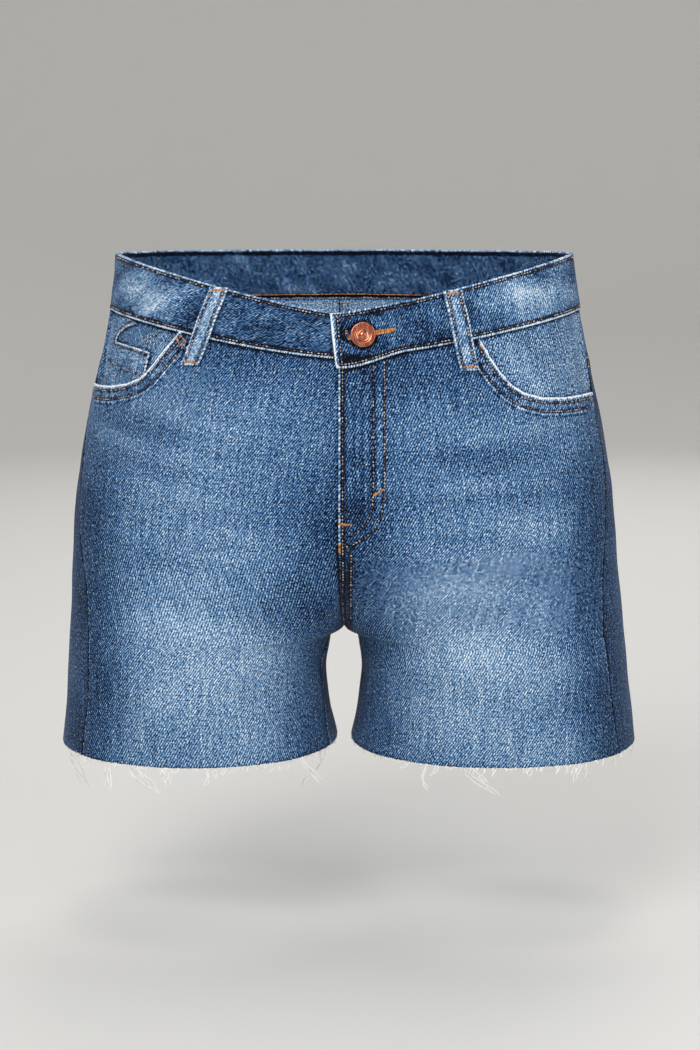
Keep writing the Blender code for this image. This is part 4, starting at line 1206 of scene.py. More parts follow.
def front_sheet(side):
    first = (lambda z: inner_turn(+1, z)) if side > 0 else under_edge
    turn, z = panel(side, front_top, first, lambda z: seam_turn(side, z))
    sheet = Sheet(side, turn, z, fly_raise(turn, z) if side > 0 else 0.0, flat=woven_place)
    start = mouth_start(side)
    under_band, mouth = sheet.borders["top"][: start + 1], sheet.borders["top"][start:]
    sheet.tone += front_tone(sheet)
    sheet.rise += 0.25 * MM * ripple(sheet.flat, 45 * MM, 21 + side)
    crease(sheet, FOLDS, deepen=False)
    crease(sheet, CREASES)
    sew(sheet, mouth, 31 + side, fell=MOUTH_FELL, rows=MOUTH_ROWS, pucker=0.35 * MM, wear=0.5, contrast=0.2)
    sheet.worn += 0.4 * bell(from_lines(sheet, mouth)[0], 2.2 * MM)
    # painted shadow under the waistband and beside the belt loops
    unworn_and_shadowed(sheet, under_band, reach=2.4 * MM, strength=0.22)
    unworn_and_shadowed(sheet, *loop_edges[side])
    sew(sheet, "last", 41 + side, pucker=0.25 * MM, wear=0.2, contrast=0.05)
    sew(sheet, "bottom", 61 + side, pucker=0.15 * MM, wear=0.0, contrast=0.05)
    sheet.tone -= 0.16 * bell(from_lines(sheet, "bottom")[0], 1.5 * MM)
    if side > 0:
        draw(sheet, *FLY_LINES)
        zip_ridges(sheet)
        sew(sheet, "first", 71, rows=(FLY_EDGE_ROW,), wear=0.5, contrast=0.05)
        from_edge, low = from_lines(sheet, "first")[0], ease(sheet.z, *FLY_END)
        beside_edge = from_edge < FLY_STRIP
        sheet.marks["edge"][beside_edge, 0] *= 1 - 0.8 * low[beside_edge]
        crotch = ease(sheet.z, CROTCH_Z - 5 * MM, CROTCH_Z + 5 * MM)
        sheet.tone -= 0.16 * low * crotch * (1 - ease(from_edge, 6.5 * MM, 8 * MM))
    return sheet


fronts = {+1: front_sheet(+1)}
fronts[-1] = front_sheet(-1)
# painted shade on the inner edge of the right thigh, where the cloth turns away under the crotch
inner_thigh_shade = 1 - ease(from_lines(fronts[-1], "first")[0], 4 * MM, 6 * MM)
fronts[-1].tone -= 0.2 * inner_thigh_shade * ease(fronts[-1].z, CROTCH_Z - 1 * MM, CROTCH_Z - 11 * MM)
# painted shadow beside the edge of the lapped fly
unworn_and_shadowed(fronts[-1], fronts[+1].borders["first"], reach=2.2 * MM, strength=0.22)
for side, sheet in fronts.items():
    cloth("front_" + side_name(side), sheet, panel_denim)

# %% [markdown]
# ## Backs and yokes
# The yoke is a V-shaped piece that shapes the seat without darts. Backs are folded over the yokes and the
# side seams and stitched twice. The seat has rubbed pale.

# %% The wash and the painted shade of the backs
FELL, DOUBLE = 10 * MM, (1.8 * MM, 8.2 * MM)  # a folded seam, and its two rows of stitches
SEAM = {"fell": FELL, "rows": DOUBLE, "wear": 0.35, "contrast": 0.1}
SEAT_ROWS = (1.0 * MM, 6.0 * MM)
SEAT_SEAM = {**SEAM, "fell": 7.6 * MM, "rows": SEAT_ROWS}


def back_tone(sheet):
    x, z = np.abs(sheet.points[..., 0]) / MM, sheet.points[..., 2] / MM
    tone = 0.40 + 0.03 * ripple(sheet.flat, 60 * MM, 81 + sheet.side, (1.6, 1))
    tone += 0.13 * spot(x, z, 85, -175, 50, 70)
    tone += 0.07 * spot(x, z, 95, -290, 60, 60)
    # darker by the centre seam low down: painted shade in the hollow under the seat, and partly the wash
    tone -= 0.13 * (1 - ease(180 - sheet.turn, 4, 30)) * ease(z, -120, -200)
    # darker towards the side seam: painted shade where the back turns away from the light, and partly the
    # wash
    tone -= 0.24 * (1 - ease(sheet.turn - seam_turn(sheet.side, sheet.z), 4, 34))
    return tone


def back_sheet(side):
    turn, z = panel(side, yoke_line, lambda z: seam_turn(side, z), lambda z: 180 + inner_turn(side, z), True)
    sheet = Sheet(side, turn, z, flat=woven_place)
    sheet.tone += back_tone(sheet)
    sheet.rise += 0.25 * MM * ripple(sheet.flat, 45 * MM, 91 + side)
    crease(sheet, FOLDS, deepen=False)
    crease(sheet, CREASES)
    sew(sheet, "top", 101 + side, height=0.3 * MM, **SEAM)
    seat = sheet.borders["last"][sheet.borders["last"][:, 2] > CROTCH_Z]
    if side > 0:
        sew(sheet, seat, 111, **SEAT_SEAM)
    else:
        # painted shadow beside the left back's seat seam, which laps over this one
        unworn_and_shadowed(sheet, seat)
    sew(sheet, "first", 121 + side, pucker=0.25 * MM, wear=0.0, contrast=0.04)
    # painted shadow beside the side seam
    unworn_and_shadowed(sheet, "first", reach=2 * MM, strength=0.1)
    sew(sheet, "last", 126 + side, wear=0.2, contrast=0.05)
    sew(sheet, "bottom", 131 + side, pucker=0.15 * MM, contrast=0.05)
    return sheet


# %% [markdown]
# A yoke has no fold of its own: the waistband lies on its top and the back panel on its foot, so it is flat
# beside both, and a shadow is painted beside both.

# %% Yokes
YOKE_ROWS = 36


def yoke_sheet(side):
    share = 1 - np.linspace(1, 0, PANEL_COLUMNS) ** CROWDING
    _, lower = panel(side, yoke_line, lambda z: seam_turn(side, z), lambda z: 180 + inner_turn(side, z), True)
    first = seam_turn(side, BAND_BOTTOM_Z)
    upper = band_bottom(side, first + (180 - first) * share)
    z = upper + (lower[0] - upper) * np.linspace(0, 1, YOKE_ROWS)[:, None]
    first = seam_turn(side, z)
    sheet = Sheet(side, first + (180 - first) * share, z, flat=woven_place)
    sheet.tone += 0.40 + 0.04 * ripple(sheet.flat, 40 * MM, 141 + side, (1.6, 1))
    # darker towards the side seam: painted shade where the yoke turns away from the light, and partly the
    # wash
    sheet.tone -= 0.12 * (1 - ease(sheet.turn - seam_turn(side, sheet.z), 4, 34))
    sheet.rise += 0.2 * MM * ripple(sheet.flat, 40 * MM, 146 + side)
    sew(sheet, "bottom", 151 + side, **PLAIN)
    # painted shadows beside the back panel, the waistband, the belt loops and the lapped seat seam
    unworn_and_shadowed(sheet, "bottom")
    sew(sheet, "top", 161 + side, **PLAIN)
    unworn_and_shadowed(sheet, "top", reach=2.4 * MM)
    unworn_and_shadowed(sheet, *loop_edges[side])
    if side > 0:
        sew(sheet, "last", 171, **SEAT_SEAM)
    else:
        unworn_and_shadowed(sheet, "last")
    return sheet


yokes = {side: yoke_sheet(side) for side in SIDES.values()}
for side, sheet in yokes.items():
    cloth("yoke_" + side_name(side), sheet, panel_denim)

# %% [markdown]
# ## Back pockets
# A five-cornered patch on each back. Its mouth is folded twice and stitched twice, and so are its edges.

# %% Back pockets
POCKET_ROWS, POCKET_COLUMNS = 74, 76
POCKET_MOUTH = 12 * MM  # height of the folded mouth
POCKET_ROWS_APART = (1.8 * MM, 7.8 * MM)
POCKET_HEM_ROW = POCKET_MOUTH - 1.8 * MM
POCKET_SIDES = ("first", "last", "bottom")


def turns_from_back(side, from_back, z):
    """The turns of places at a distance round the cloth from the centre back."""
    turns = np.linspace(180, 60, 41)
    away = lengths(body(side, turns[:, None], z.ravel()), 0)
    found = [np.interp(at, line, turns) for at, line in zip(from_back.ravel(), away.T)]
    return np.reshape(found, z.shape)


def pocket_sheet(side):
    across = np.linspace(1, -1, POCKET_COLUMNS)
    down = np.linspace(0, 1, POCKET_ROWS)[:, None]
    half = (BACK_POCKET["width"] + (BACK_POCKET["foot"] - BACK_POCKET["width"]) * down) / 2
    top = yoke_line(side, BACK_POCKET_TURN) - BACK_POCKET_DROP
    point = BACK_POCKET["point"] * (1 - np.abs(across))
    z = top - BACK_POCKET_TILT * across - (BACK_POCKET["side"] + point) * down
    turn = turns_from_back(side, BACK_POCKET_CENTRE + half * across, z)
    sheet = Sheet(side, turn, z, LAYER_GAP + WALL + 0.5 * MM, trim=0.0, flat=woven_place)
    sheet.rise -= fold_depth(CREASES, side, sheet.turn, sheet.z)
    sheet.tone += 0.41 + 0.12 * spot(across, down, 0, 0.5, 0.8, 0.5)
    sheet.tone += 0.04 * ripple(sheet.flat, 40 * MM, 201 + side, (1.5, 1))
    sheet.rise += 0.25 * MM * ripple(sheet.flat, 40 * MM, 206 + side)
    rows = (POCKET_ROWS_APART[0], POCKET_HEM_ROW)
    sew(sheet, "top", 211 + side, fell=POCKET_MOUTH, rows=rows, wear=0.5, contrast=0.1)
    seam = {"fell": 9 * MM, "rows": POCKET_ROWS_APART, "height": 0.3 * MM, "wear": 0.45, "contrast": 0.09}
    for number, name in enumerate(POCKET_SIDES):
        sew(sheet, name, 221 + 5 * number + side, **seam)
    return sheet


back_pockets = {side: pocket_sheet(side) for side in SIDES.values()}
backs = {side: back_sheet(side) for side in SIDES.values()}
for side, sheet in back_pockets.items():
    # painted shadow round each back pocket
    unworn_and_shadowed(backs[side], *sheet.borders.values(), reach=2.4 * MM)
    cloth("back_pocket_" + side_name(side), sheet, panel_denim)
    cloth("back_" + side_name(side), backs[side], panel_denim)

# %% [markdown]
# ## Front pockets
# A facing lines what shows inside each pocket mouth. On the wearer's right it carries a coin pocket, whose
# corner has pulled away and gapes a little.

# %% Facings and coin pocket
FACING_ROWS, FACING_COLUMNS = 44, 70
COIN_ROWS, COIN_COLUMNS = 26, 66
FACING_TONE = {-1: 0.40, +1: 0.48}
FLUSH_TURNS, FLUSH_HEIGHT = (0.4, 3.5), (1 * MM, 5 * MM)  # where the facing comes out to the side seam
COIN_STITCH = 1.8 * MM
COIN_ROW = [(-166.5, -52.5), (-155.0, -56.5), (-140.5, -60.5)]  # the coin pocket's lower row of stitches
FACING_ROWS_SEEN = [[(-139.0, -33.5), (-141.0, -46.0)], [(-131.0, -32.0), (-135.3, -41.5)]]


def coin_sheet():
    given = np.arange(len(COIN_POCKET["mouth_x"]))
    along = np.linspace(0, given[-1], COIN_COLUMNS)
    mouth_x, mouth_z, outer_x, outer_z = read_at(along, given, np.stack([*COIN_POCKET.values()], -1)).T * MM
    share = np.linspace(0, 1, COIN_ROWS)[:, None]
    x, z = mouth_x * (1 - share) + outer_x * share, mouth_z * (1 - share) + outer_z * share
    turn = np.minimum(turn_at(-1, x, z), seam_turn(-1, z) - COIN_FROM_SEAM)
    sheet = Sheet(-1, turn, z, -COIN_DEPTH, wall=COIN_WALL, trim=0.0, flat=woven_place)
    sheet.tone += 0.46 + 0.05 * ripple(sheet.flat, 18 * MM, 191, (1, 2))
    sew(sheet, "top", 192, pucker=0.15 * MM, wear=0.6, contrast=0.14)
    sew(sheet, "last", 193, pucker=0.15 * MM, wear=0.4)
    lower = from_lines(sheet, front_line(-1, COIN_ROW))[0]
    sheet.tone -= (0.1 + 0.08 * ripple(sheet.flat, 4 * MM, 194, (0.7, 2))) * bell(lower, 6 * MM)
    draw(sheet, front_line(-1, COIN_ROW), beside(sheet, "top", COIN_STITCH))
    return sheet


def facing_sheet(side):
    start = POCKET_MOUTHS[side]["x"][0] * MM
    turns = np.linspace(20, 89, 300)
    line = np.abs(body(side, turns, band_bottom(side, turns))[..., 0])
    first = turns[np.argmax(line > start - FACING_UNDER)]
    share = np.linspace(0, 1, FACING_COLUMNS)
    turn = first + (seam_turn(side, BAND_BOTTOM_Z) - first) * share
    mouth, high = pocket_line(side, turn), band_bottom(side, turn)
    low = np.minimum(mouth, high - FACING_LEAST) - FACING_UNDER
    down = np.linspace(0, 1, FACING_ROWS)[:, None]
    z = high * (1 - down) + low * down
    seam = seam_turn(side, z)
    turn = first + (seam - first) * share
    flush = (1 - ease(seam - turn, *FLUSH_TURNS)) * ease(z - mouth, *FLUSH_HEIGHT)
    sheet = Sheet(side, turn, z, -FACING_INSET[side] * (1 - flush), flat=woven_place)
    sheet.tone += FACING_TONE[side] + 0.05 * ripple(sheet.flat, 30 * MM, 181 + side, (1, 2))
    sew(sheet, "top", 186 + side, **PLAIN)
    # painted shadow under the waistband, and under the front's edge inside the pocket mouth
    unworn_and_shadowed(sheet, "top", reach=2.4 * MM)
    unworn_and_shadowed(sheet, fronts[side].borders["top"][mouth_start(side) :], reach=3.2 * MM, strength=0.16)
    if side < 0:
        draw(sheet, *(front_line(-1, row) for row in FACING_ROWS_SEEN))
    return sheet


coin = coin_sheet()
facings = {side: facing_sheet(side) for side in SIDES.values()}
# painted shadow inside the coin pocket's gaping mouth and beside its edge
unworn_and_shadowed(facings[-1], coin.borders["top"], coin.borders["last"], reach=2.6 * MM, strength=0.3)
for side, sheet in facings.items():
    cloth("pocket_facing_" + side_name(side), sheet, facing_denim)
cloth("coin_pocket", coin, facing_denim)

# %% [markdown]
# ## Waistband
# One long strip, folded along its top and sewn to the panels along its lower edge. The buttoned end lies on
# the other. Its lower edge is the most rubbed line of the garment: the fold is thick and puckered, and only
# the tops of the puckers have gone white, like a twisted rope.

# %% Waistband
BAND_SPACING = 1.3 * MM
BAND_ROWS = 36
BAND_STITCH = 2.4 * MM  # the stitch rows' distance from the edges
END_STITCH = 4.6 * MM  # and from the buttoned end


def half_band(side, turns, raised):
    """Turns, heights and distances of one half of the waistband."""
    share = np.linspace(0, 1, BAND_ROWS)[:, None]
    z = band_top(side, turns) * (1 - share) + band_bottom(side, turns) * share
    turn, raised = (values + np.zeros_like(z) for values in (turns, raised))
    slant = OVERLAP_SLANT * (1 - 2 * share) * (side > 0)
    return turn - slant * (1 - ease(turn, OVERLAP_TURN, 3.0)), z, BAND_PROUD + raised


def even_turns(side, first, last):
    """Turns between two, whose places on the waistband are evenly spaced."""
    turns = np.linspace(first, last, 800)
    along = lengths(body(side, turns, 0.0), 0)
    return np.interp(np.linspace(0, along[-1], int(along[-1] / BAND_SPACING)), along, turns)


BUTTON_Z = (band_top(+1, BUTTON_TURN) + band_bottom(+1, BUTTON_TURN)) / 2 + BUTTON_RISE


def button_line(beyond):
    """A ring on the cloth round the button, at a distance beyond its edge."""
    x, _, z = body(+1, BUTTON_TURN, BUTTON_Z)
    ring = np.radians(np.arange(0, 361, 15))
    x, z = x + (BUTTON_RADIUS + beyond) * np.cos(ring), z + (BUTTON_RADIUS + beyond) * np.sin(ring)
    return layer(+1, turn_at(+1, x, z), z, BAND_PROUD + OVERLAP_RAISE)


# %% The whole waistband


def band_sheet():
    left = even_turns(+1, OVERLAP_TURN, 180)
    right = even_turns(-1, 180, UNDERLAP_TURN)[1:]
    halves = [
        (+1, *half_band(+1, left, OVERLAP_RAISE * (1 - ease(left, *OVERLAP_EASE)))),
        (-1, *half_band(-1, right, 0.0)),
    ]
    laid = [(turn, z, layer(side, turn, z, out), normals(side, turn, z)) for side, turn, z, out in halves]
    turn, z, *placed = (np.concatenate(values, axis=1) for values in zip(*laid))
    sheet = Sheet(0, turn, z, wall=BAND_WALL, trim=0.0, placed=placed)
    x, height = sheet.points[..., 0] / MM, sheet.z / MM
    front = sheet.points[..., 1] < 20 * MM
    sheet.tone += 0.23 + 0.07 * ripple(sheet.flat, 30 * MM, 231, (1, 0.8))
    sheet.tone += front * 0.37 * (spot(x, height, -134, -6, 24, 17) + spot(x, height, 126, -8, 34, 20))
    sheet.inner_tone = 0.27 + 0.05 * ripple(sheet.flat, 30 * MM, 232)
    from_foot, from_end = from_lines(sheet, "bottom")[0], from_lines(sheet, "first")[0]
    sheet.inner_tone -= 0.12 * bell(from_foot, 4 * MM)
    sheet.rise += 0.35 * MM * ripple(sheet.flat, 28 * MM, 233, (1, 1.5))
    sew(sheet, "bottom", 234, rows=(BAND_STITCH,), pucker=0.22 * MM, wear=0.6, contrast=0.1)
    sew(sheet, "top", 235, rows=(BAND_STITCH,), pucker=0.15 * MM, wear=0.42, contrast=0.05)
    over, under = slice(len(left)), slice(len(left), None)
    layers = [sheet.rise, sheet.tone, *sheet.marks.values()]
    kept = [values[:, under].copy() for values in layers]
    sew(sheet, "first", 236, fell=5.5 * MM, rows=(END_STITCH,), pucker=0.15 * MM, wear=0.7)
    for values, before in zip(layers, kept):  # the buttoned end's seam isn't in the end that lies under it
        values[:, under] = before
    sheet.worn[:, over] += 0.5 * bell(from_end[:, over], 3.0 * MM)
    # a painted shade line in the groove above the lower row of stitches
    sheet.tone -= 0.1 * bell(from_foot - BAND_STITCH - 1.2 * MM, 1.1 * MM)
    # painted shadow beside the belt loops, and a painted shadow ring round the button
    unworn_and_shadowed(sheet, *loop_edges[-1], *loop_edges[+1])
    unworn_and_shadowed(sheet, button_line(0.1 * MM), reach=0.8 * MM, strength=0.12)
    # painted shadow cast by the buttoned end on the end that lies under it
    sheet.tone[:, under] -= 0.2 * bell(from_end[:, under], 2.2 * MM)
    return sheet


band = band_sheet()
cloth("waistband", band, band_denim)

# %% [markdown]
# ## Stitches
# A stitch is a short thick thread that dives into the cloth at both ends, so a flattened ball, sunk half way,
# already looks right. There are thousands, in long rows, which is what Geometry Nodes are for: a row is a
# bare line of points that carry the direction out of the cloth, and the tree walks along it at the stitch's
# pitch, sets a stitch at each step and turns it to follow the line and to lie on the cloth.

# %% What both trees need
STITCH = {"Pitch": 2.35 * MM, "Length": 1.75 * MM, "Width": 0.95 * MM, "Slant": 0.0}
STITCH_TURN, STITCH_LENGTH = (-0.1, 0.1), (0.85, 1.1)  # how much stitches differ, in radians and as a share


def new_tree(name, lines, numbers):
    """A geometry tree, its graph, and the wires of its inputs: lines, some numbers and a thread."""
    tree = bpy.data.node_groups.new(name, "GeometryNodeTree")
    kinds = {lines: "Geometry", **dict.fromkeys(numbers, "Float"), "Thread": "Material"}
    for title, kind in kinds.items():
        tree.interface.new_socket(title, in_out="INPUT", socket_type="NodeSocket" + kind)
    for item in tree.interface.items_tree:
        if item.name in numbers:
            item.default_value = numbers[item.name]
    tree.interface.new_socket("Made", in_out="OUTPUT", socket_type="NodeSocketGeometry")
    graph, inputs = Graph(tree), tree.nodes.new("NodeGroupInput")
    return tree, graph, {title: Wire(graph, inputs.outputs[title]) for title in kinds}


def finish_tree(graph, made, thread):
    """Makes plain, smooth faces of what a tree has made, and gives them their material."""
    solid = graph.add("GeometryNodeRealizeInstances", {}, {"Geometry": made})
    smooth = graph.add("GeometryNodeSetShadeSmooth", {}, {"Geometry": solid})
    coloured = graph.add("GeometryNodeSetMaterial", {}, {"Geometry": smooth, "Material": thread})
    graph.add("NodeGroupOutput", {}, {"Made": coloured})


def differ(graph, low, high, seed):
    """A random number of its own for each stitch."""
    span = {"Min": low, "Max": high, "Seed": seed}
    return graph.add("FunctionNodeRandomValue", {"data_type": "FLOAT"}, span, output=1)


# %% A tree that sews


def stitching_tree():
    tree, graph, given = new_tree("stitching", "Rows", STITCH)
    line = graph.add("GeometryNodeMeshToCurve", {}, {"Mesh": given["Rows"]})
    apart = {"Curve": line, "Length": given["Pitch"]}
    steps = graph.add("GeometryNodeResampleCurve", {"mode": "LENGTH"}, apart)
    ball = graph.add("GeometryNodeMeshUVSphere", {}, {"Segments": 8, "Rings": 5, "Radius": 0.5})
    way_out = graph.add("GeometryNodeInputNamedAttribute", {"data_type": "FLOAT_VECTOR"}, {"Name": "out"})
    axes = {"Primary Axis": way_out, "Secondary Axis": graph.add("GeometryNodeInputTangent")}
    facing = graph.add("FunctionNodeAxesToRotation", {"primary_axis": "Z", "secondary_axis": "X"}, axes)
    spin = graph.add("ShaderNodeCombineXYZ", {}, {"Z": given["Slant"] + differ(graph, *STITCH_TURN, 3)})
    turn = {"Rotation": facing, "Rotate By": spin}
    turned = graph.add("FunctionNodeRotateRotation", {"rotation_space": "LOCAL"}, turn)
    length, width = given["Length"] * differ(graph, *STITCH_LENGTH, 4), given["Width"]
    size = graph.add("ShaderNodeCombineXYZ", {}, {"X": length, "Y": width, "Z": width})
    stitch = {"Points": steps, "Instance": ball, "Rotation": turned, "Scale": size}
    set_down = graph.add("GeometryNodeInstanceOnPoints", {}, stitch)
    colour = {"Geometry": set_down, "Name": "twist", "Value": differ(graph, 0.0, 1.0, 5)}
    each = {"data_type": "FLOAT", "domain": "INSTANCE"}
    marked = graph.add("GeometryNodeStoreNamedAttribute", each, colour)
    finish_tree(graph, marked, given["Thread"])
    return tree


# %% [markdown]
# A tree works once. Its lines carry it as a modifier, the faces that it makes are copied into a mesh of their
# own, and the lines go away with the modifier.

# %% From lines to a plain mesh


def grown(name, lines, outs, tree, settings):
    """A plain mesh that a tree makes from lines of points, each with its way out of the cloth."""
    points = np.concatenate(lines)
    numbers = np.arange(len(points))
    joined = np.stack([numbers[:-1], numbers[1:]], -1)
    ends = np.cumsum([len(line) for line in lines])[:-1] - 1
    mesh = bpy.data.meshes.new(name + " lines")
    mesh.from_pydata(points.tolist(), np.delete(joined, ends, axis=0).tolist(), [])
    directions = mesh.attributes.new("out", "FLOAT_VECTOR", "POINT").data
    directions.foreach_set("vector", np.concatenate(outs).ravel())
    guide = set_out(name + " guide", mesh)
    modifier = guide.modifiers.new("grow", "NODES")
    modifier.node_group = tree
    sockets = {item.name: item.identifier for item in tree.interface.items_tree if item.in_out == "INPUT"}
    for title, value in settings.items():
        modifier[sockets[title]] = value
    guide.update_tag()
    bpy.context.view_layer.update()
    ready = guide.evaluated_get(bpy.context.evaluated_depsgraph_get())
    made = bpy.data.meshes.new_from_object(ready)
    bpy.data.objects.remove(guide)
    piece = set_out(name, made)
    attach(piece, "root")
    print(name, "faces:", len(made.polygons))
    return piece


# %% [markdown]
# ## Thread
# Topstitching thread is spun from light and dark fibres and has been washed with the cloth, so no two
# stitches have the same colour. Tacks and the buttonhole are sewn with a brighter, orange thread.

# %% Thread materials


def thread(name, stops):
    """A material that picks each stitch's colour by its own random number."""
    material, graph, surface = new_material(name)
    fuzz = noise(graph, graph.add("ShaderNodeTexCoord", output="Object"), 0.5)
    shade = graph.attribute("twist") + fuzz * 0.5
    colour = graph.add("ShaderNodeValToRGB", {"stops": stops}, {"Fac": shade})
    bump = graph.add("ShaderNodeBump", {}, {"Strength": 0.5, "Distance": 0.1 * MM, "Height": fuzz})
    graph.plug(surface, {"Base Color": colour, "Normal": bump, "Roughness": 0.7, "Specular IOR Level": 0.3})
    return material


BROWNS = {0.0: (34, 27, 38), 0.35: (86, 68, 68), 0.6: (160, 138, 128), 0.9: (206, 190, 176)}
ORANGES = {0.0: (112, 60, 30), 0.5: (196, 128, 64), 1.0: (230, 178, 118)}
brown_thread, orange_thread = thread("brown thread", BROWNS), thread("orange thread", ORANGES)
sewing = stitching_tree()

# %% [markdown]
# ## Laying rows of stitches
# A row is drawn as a line of places, then laid onto the finished cloth: the nearest point of the mesh gives
# its exact height, down in its own groove.

# %% Lines for rows


class Surface:
    """The outer face of a piece, or its inner face, on which lines are laid."""

    def __init__(self, sheet, inside=False):
        points = (sheet.surface() - sheet.out * sheet.wall * inside).reshape(-1, 3)
        self.ways_out = sheet.out.reshape(-1, 3) * (1 - 2 * inside)
        self.faces = quads(numbered(sheet.points)).tolist()
        self.tree = BVHTree.FromPolygons(points.tolist(), self.faces)

    def lay(self, line, height=0.05 * MM, spacing=1.0 * MM):
        """A line brought onto the cloth, and the way out at each of its points."""
        placed, outs = [], []
        for point in dense(np.asarray(line), spacing):
            spot_on, facing, number, _ = self.tree.find_nearest(Vector(point))
            way = Vector(self.ways_out[self.faces[number][0]])
            facing = facing if facing.dot(way) > 0 else -facing
            placed.append(spot_on + facing * height)
            outs.append(facing)
        return np.array(placed), np.array(outs)


def shifted(line, outs, distance):
    """A line moved along the cloth, to its left as seen from outside when walking along it."""
    heading = unit(np.gradient(line, axis=0))
    return line + np.cross(outs, heading) * distance


# %% Rows on the waistband


def sew_rows(name, surface, lines, material, **settings):
    """One object with all the stitches of some lines on one piece."""
    laid, outs = zip(*(surface.lay(line) for line in lines))
    grown(name, laid, outs, sewing, {"Thread": material, **settings})


band_surface = Surface(band)
band_lines = [
    beside(band, "top", BAND_STITCH, 1 * MM),
    beside(band, "bottom", BAND_STITCH, 1 * MM),
    beside(band, "first", END_STITCH, 2 * MM, 2 * MM),
]
sew_rows("stitches_waistband", band_surface, band_lines, brown_thread)
within = Surface(band, inside=True)
chain = {"Pitch": 1.5 * MM, "Length": 1.9 * MM, "Width": 0.8 * MM}
sew_rows("chain_inside_waistband", within, [beside(band, "bottom", 3.2 * MM, 4 * MM)], orange_thread, **chain)
sew_rows("stitches_inside_waistband", within, [beside(band, "bottom", 1.3 * MM, 4 * MM)], brown_thread)

# %% Rows on the fronts
front_surfaces = {side: Surface(sheet) for side, sheet in fronts.items()}
fly_edge = beside(fronts[1], "first", FLY_EDGE_ROW)
fly_edge = fly_edge[fly_edge[:, 2] > -243 * MM]
lines = {+1: [fly_edge, *FLY_LINES], -1: []}
for side in SIDES.values():
    start = mouth_start(side)
    mouth = fronts[side].borders["top"][start:]
    for distance in MOUTH_ROWS:
        line = shifted(mouth, fronts[side].out[0, start:], -side * distance)
        lines[side].append(line[line[:, 2] < mouth[0, 2] - 3 * MM])
    sew_rows("stitches_front_" + side_name(side), front_surfaces[side], lines[side], brown_thread)

# %% Rows on the backs, yokes and back pockets
back_lines = {side: [beside(backs[side], "top", distance) for distance in DOUBLE] for side in SIDES.values()}
for distance in SEAT_ROWS:
    line = beside(backs[+1], "last", distance)
    back_lines[+1].append(line[line[:, 2] > -240 * MM])
for side in SIDES.values():
    sew_rows("stitches_back_" + side_name(side), Surface(backs[side]), back_lines[side], brown_thread)
yoke_lines = [beside(yokes[+1], "last", distance) for distance in SEAT_ROWS]
sew_rows("stitches_yoke", Surface(yokes[+1]), yoke_lines, brown_thread)
sew_rows("stitches_inside_yoke", Surface(yokes[+1], inside=True), yoke_lines, brown_thread, Width=1.7 * MM)
for side, sheet in back_pockets.items():
    pocket_lines = [beside(sheet, "top", distance) for distance in (POCKET_ROWS_APART[0], POCKET_HEM_ROW)]
    for name in POCKET_SIDES:
        pocket_lines += [beside(sheet, name, away, away, away) for away in POCKET_ROWS_APART]
    sew_rows("stitches_back_pocket_" + side_name(side), Surface(sheet), pocket_lines, brown_thread)

# %% Rows on the facing, the coin pocket and the belt loops
coin_surface, facing_surface = Surface(coin), Surface(facings[-1])
coin_rows = [beside(coin, "top", COIN_STITCH), front_line(-1, COIN_ROW)]
sew_rows("stitches_coin_pocket", coin_surface, coin_rows, brown_thread)
sew_rows("stitches_facing", facing_surface, [front_line(-1, row) for row in FACING_ROWS_SEEN], brown_thread)
loop_surfaces = {name: Surface(sheet) for name, sheet in loops.items()}
for name, sheet in loops.items():
    loop_lines = [beside(sheet, edge, LOOP_STITCH, 2 * MM, 2 * MM) for edge in ("first", "last")]
    thick = {"Width": 1.2 * MM, "Pitch": 2.1 * MM}
    sew_rows("stitches_" + name, loop_surfaces[name], loop_lines, brown_thread, **thick)

# %% [markdown]
# ## Tacks and the buttonhole
# A bar tack is a dense zigzag that locks the end of a seam. The same tree sews it: the pitch is about a
# thread's width, and each thread lies nearly square to the line.

# %% Bar tacks
TACK = {"Pitch": 0.5 * MM, "Length": 2.0 * MM, "Width": 0.5 * MM, "Slant": math.radians(78)}


def across_loop(sheet, from_end, upper):
    """A line across a belt loop, near its top or its foot."""
    points = sheet.points if upper else sheet.points[::-1]
    down = lengths(points, 0)
    return np.array([read_at(from_end, down[:, at], points[:, at]) for at in range(2, LOOP_COLUMNS - 2)])


for name, sheet in loops.items():
    tack_lines = [across_loop(sheet, 1.8 * MM, upper) for upper in (True, False)]
    sew_rows("tacks_" + name, loop_surfaces[name], tack_lines, orange_thread, **TACK)
FLY_TACKS = [(19.4, -138.4), (26.8, -134.0)], [(0.2, -156.6), (5.2, -158.4)], [(-1.4, -171), (-1.4, -177)]
MOUTH_BOX = [(-114.9, -33.9), (-110.3, -40.5), (-107.1, -37.4), (-111.8, -32.3), (-114.9, -33.9)]
thin = {**TACK, "Length": 1.1 * MM}
for name, surface, side, tacks, settings in (
    ("tacks_fly", front_surfaces[+1], +1, FLY_TACKS, TACK),
    ("tack_front_right", front_surfaces[-1], -1, (MOUTH_BOX,), thin),
    ("tack_front_left", front_surfaces[+1], +1, ([(91.6, -39.4), (93.4, -41.2)],), TACK),
    ("tack_coin_pocket", coin_surface, -1, ([(-143.5, -61.5), (-139.5, -62.5)],), thin),
):
    sew_rows(name, surface, [front_line(side, tack) for tack in tacks], orange_thread, **settings)

# %% [markdown]
# ## Frayed hems
# The legs were cut off and never hemmed. The white weft threads work loose along the cut and hang in tufts.
# The longest are drawn one by one, from a table of where they start, how long they are and which way they
# lean; the short fuzz between them is grown along the whole edge.

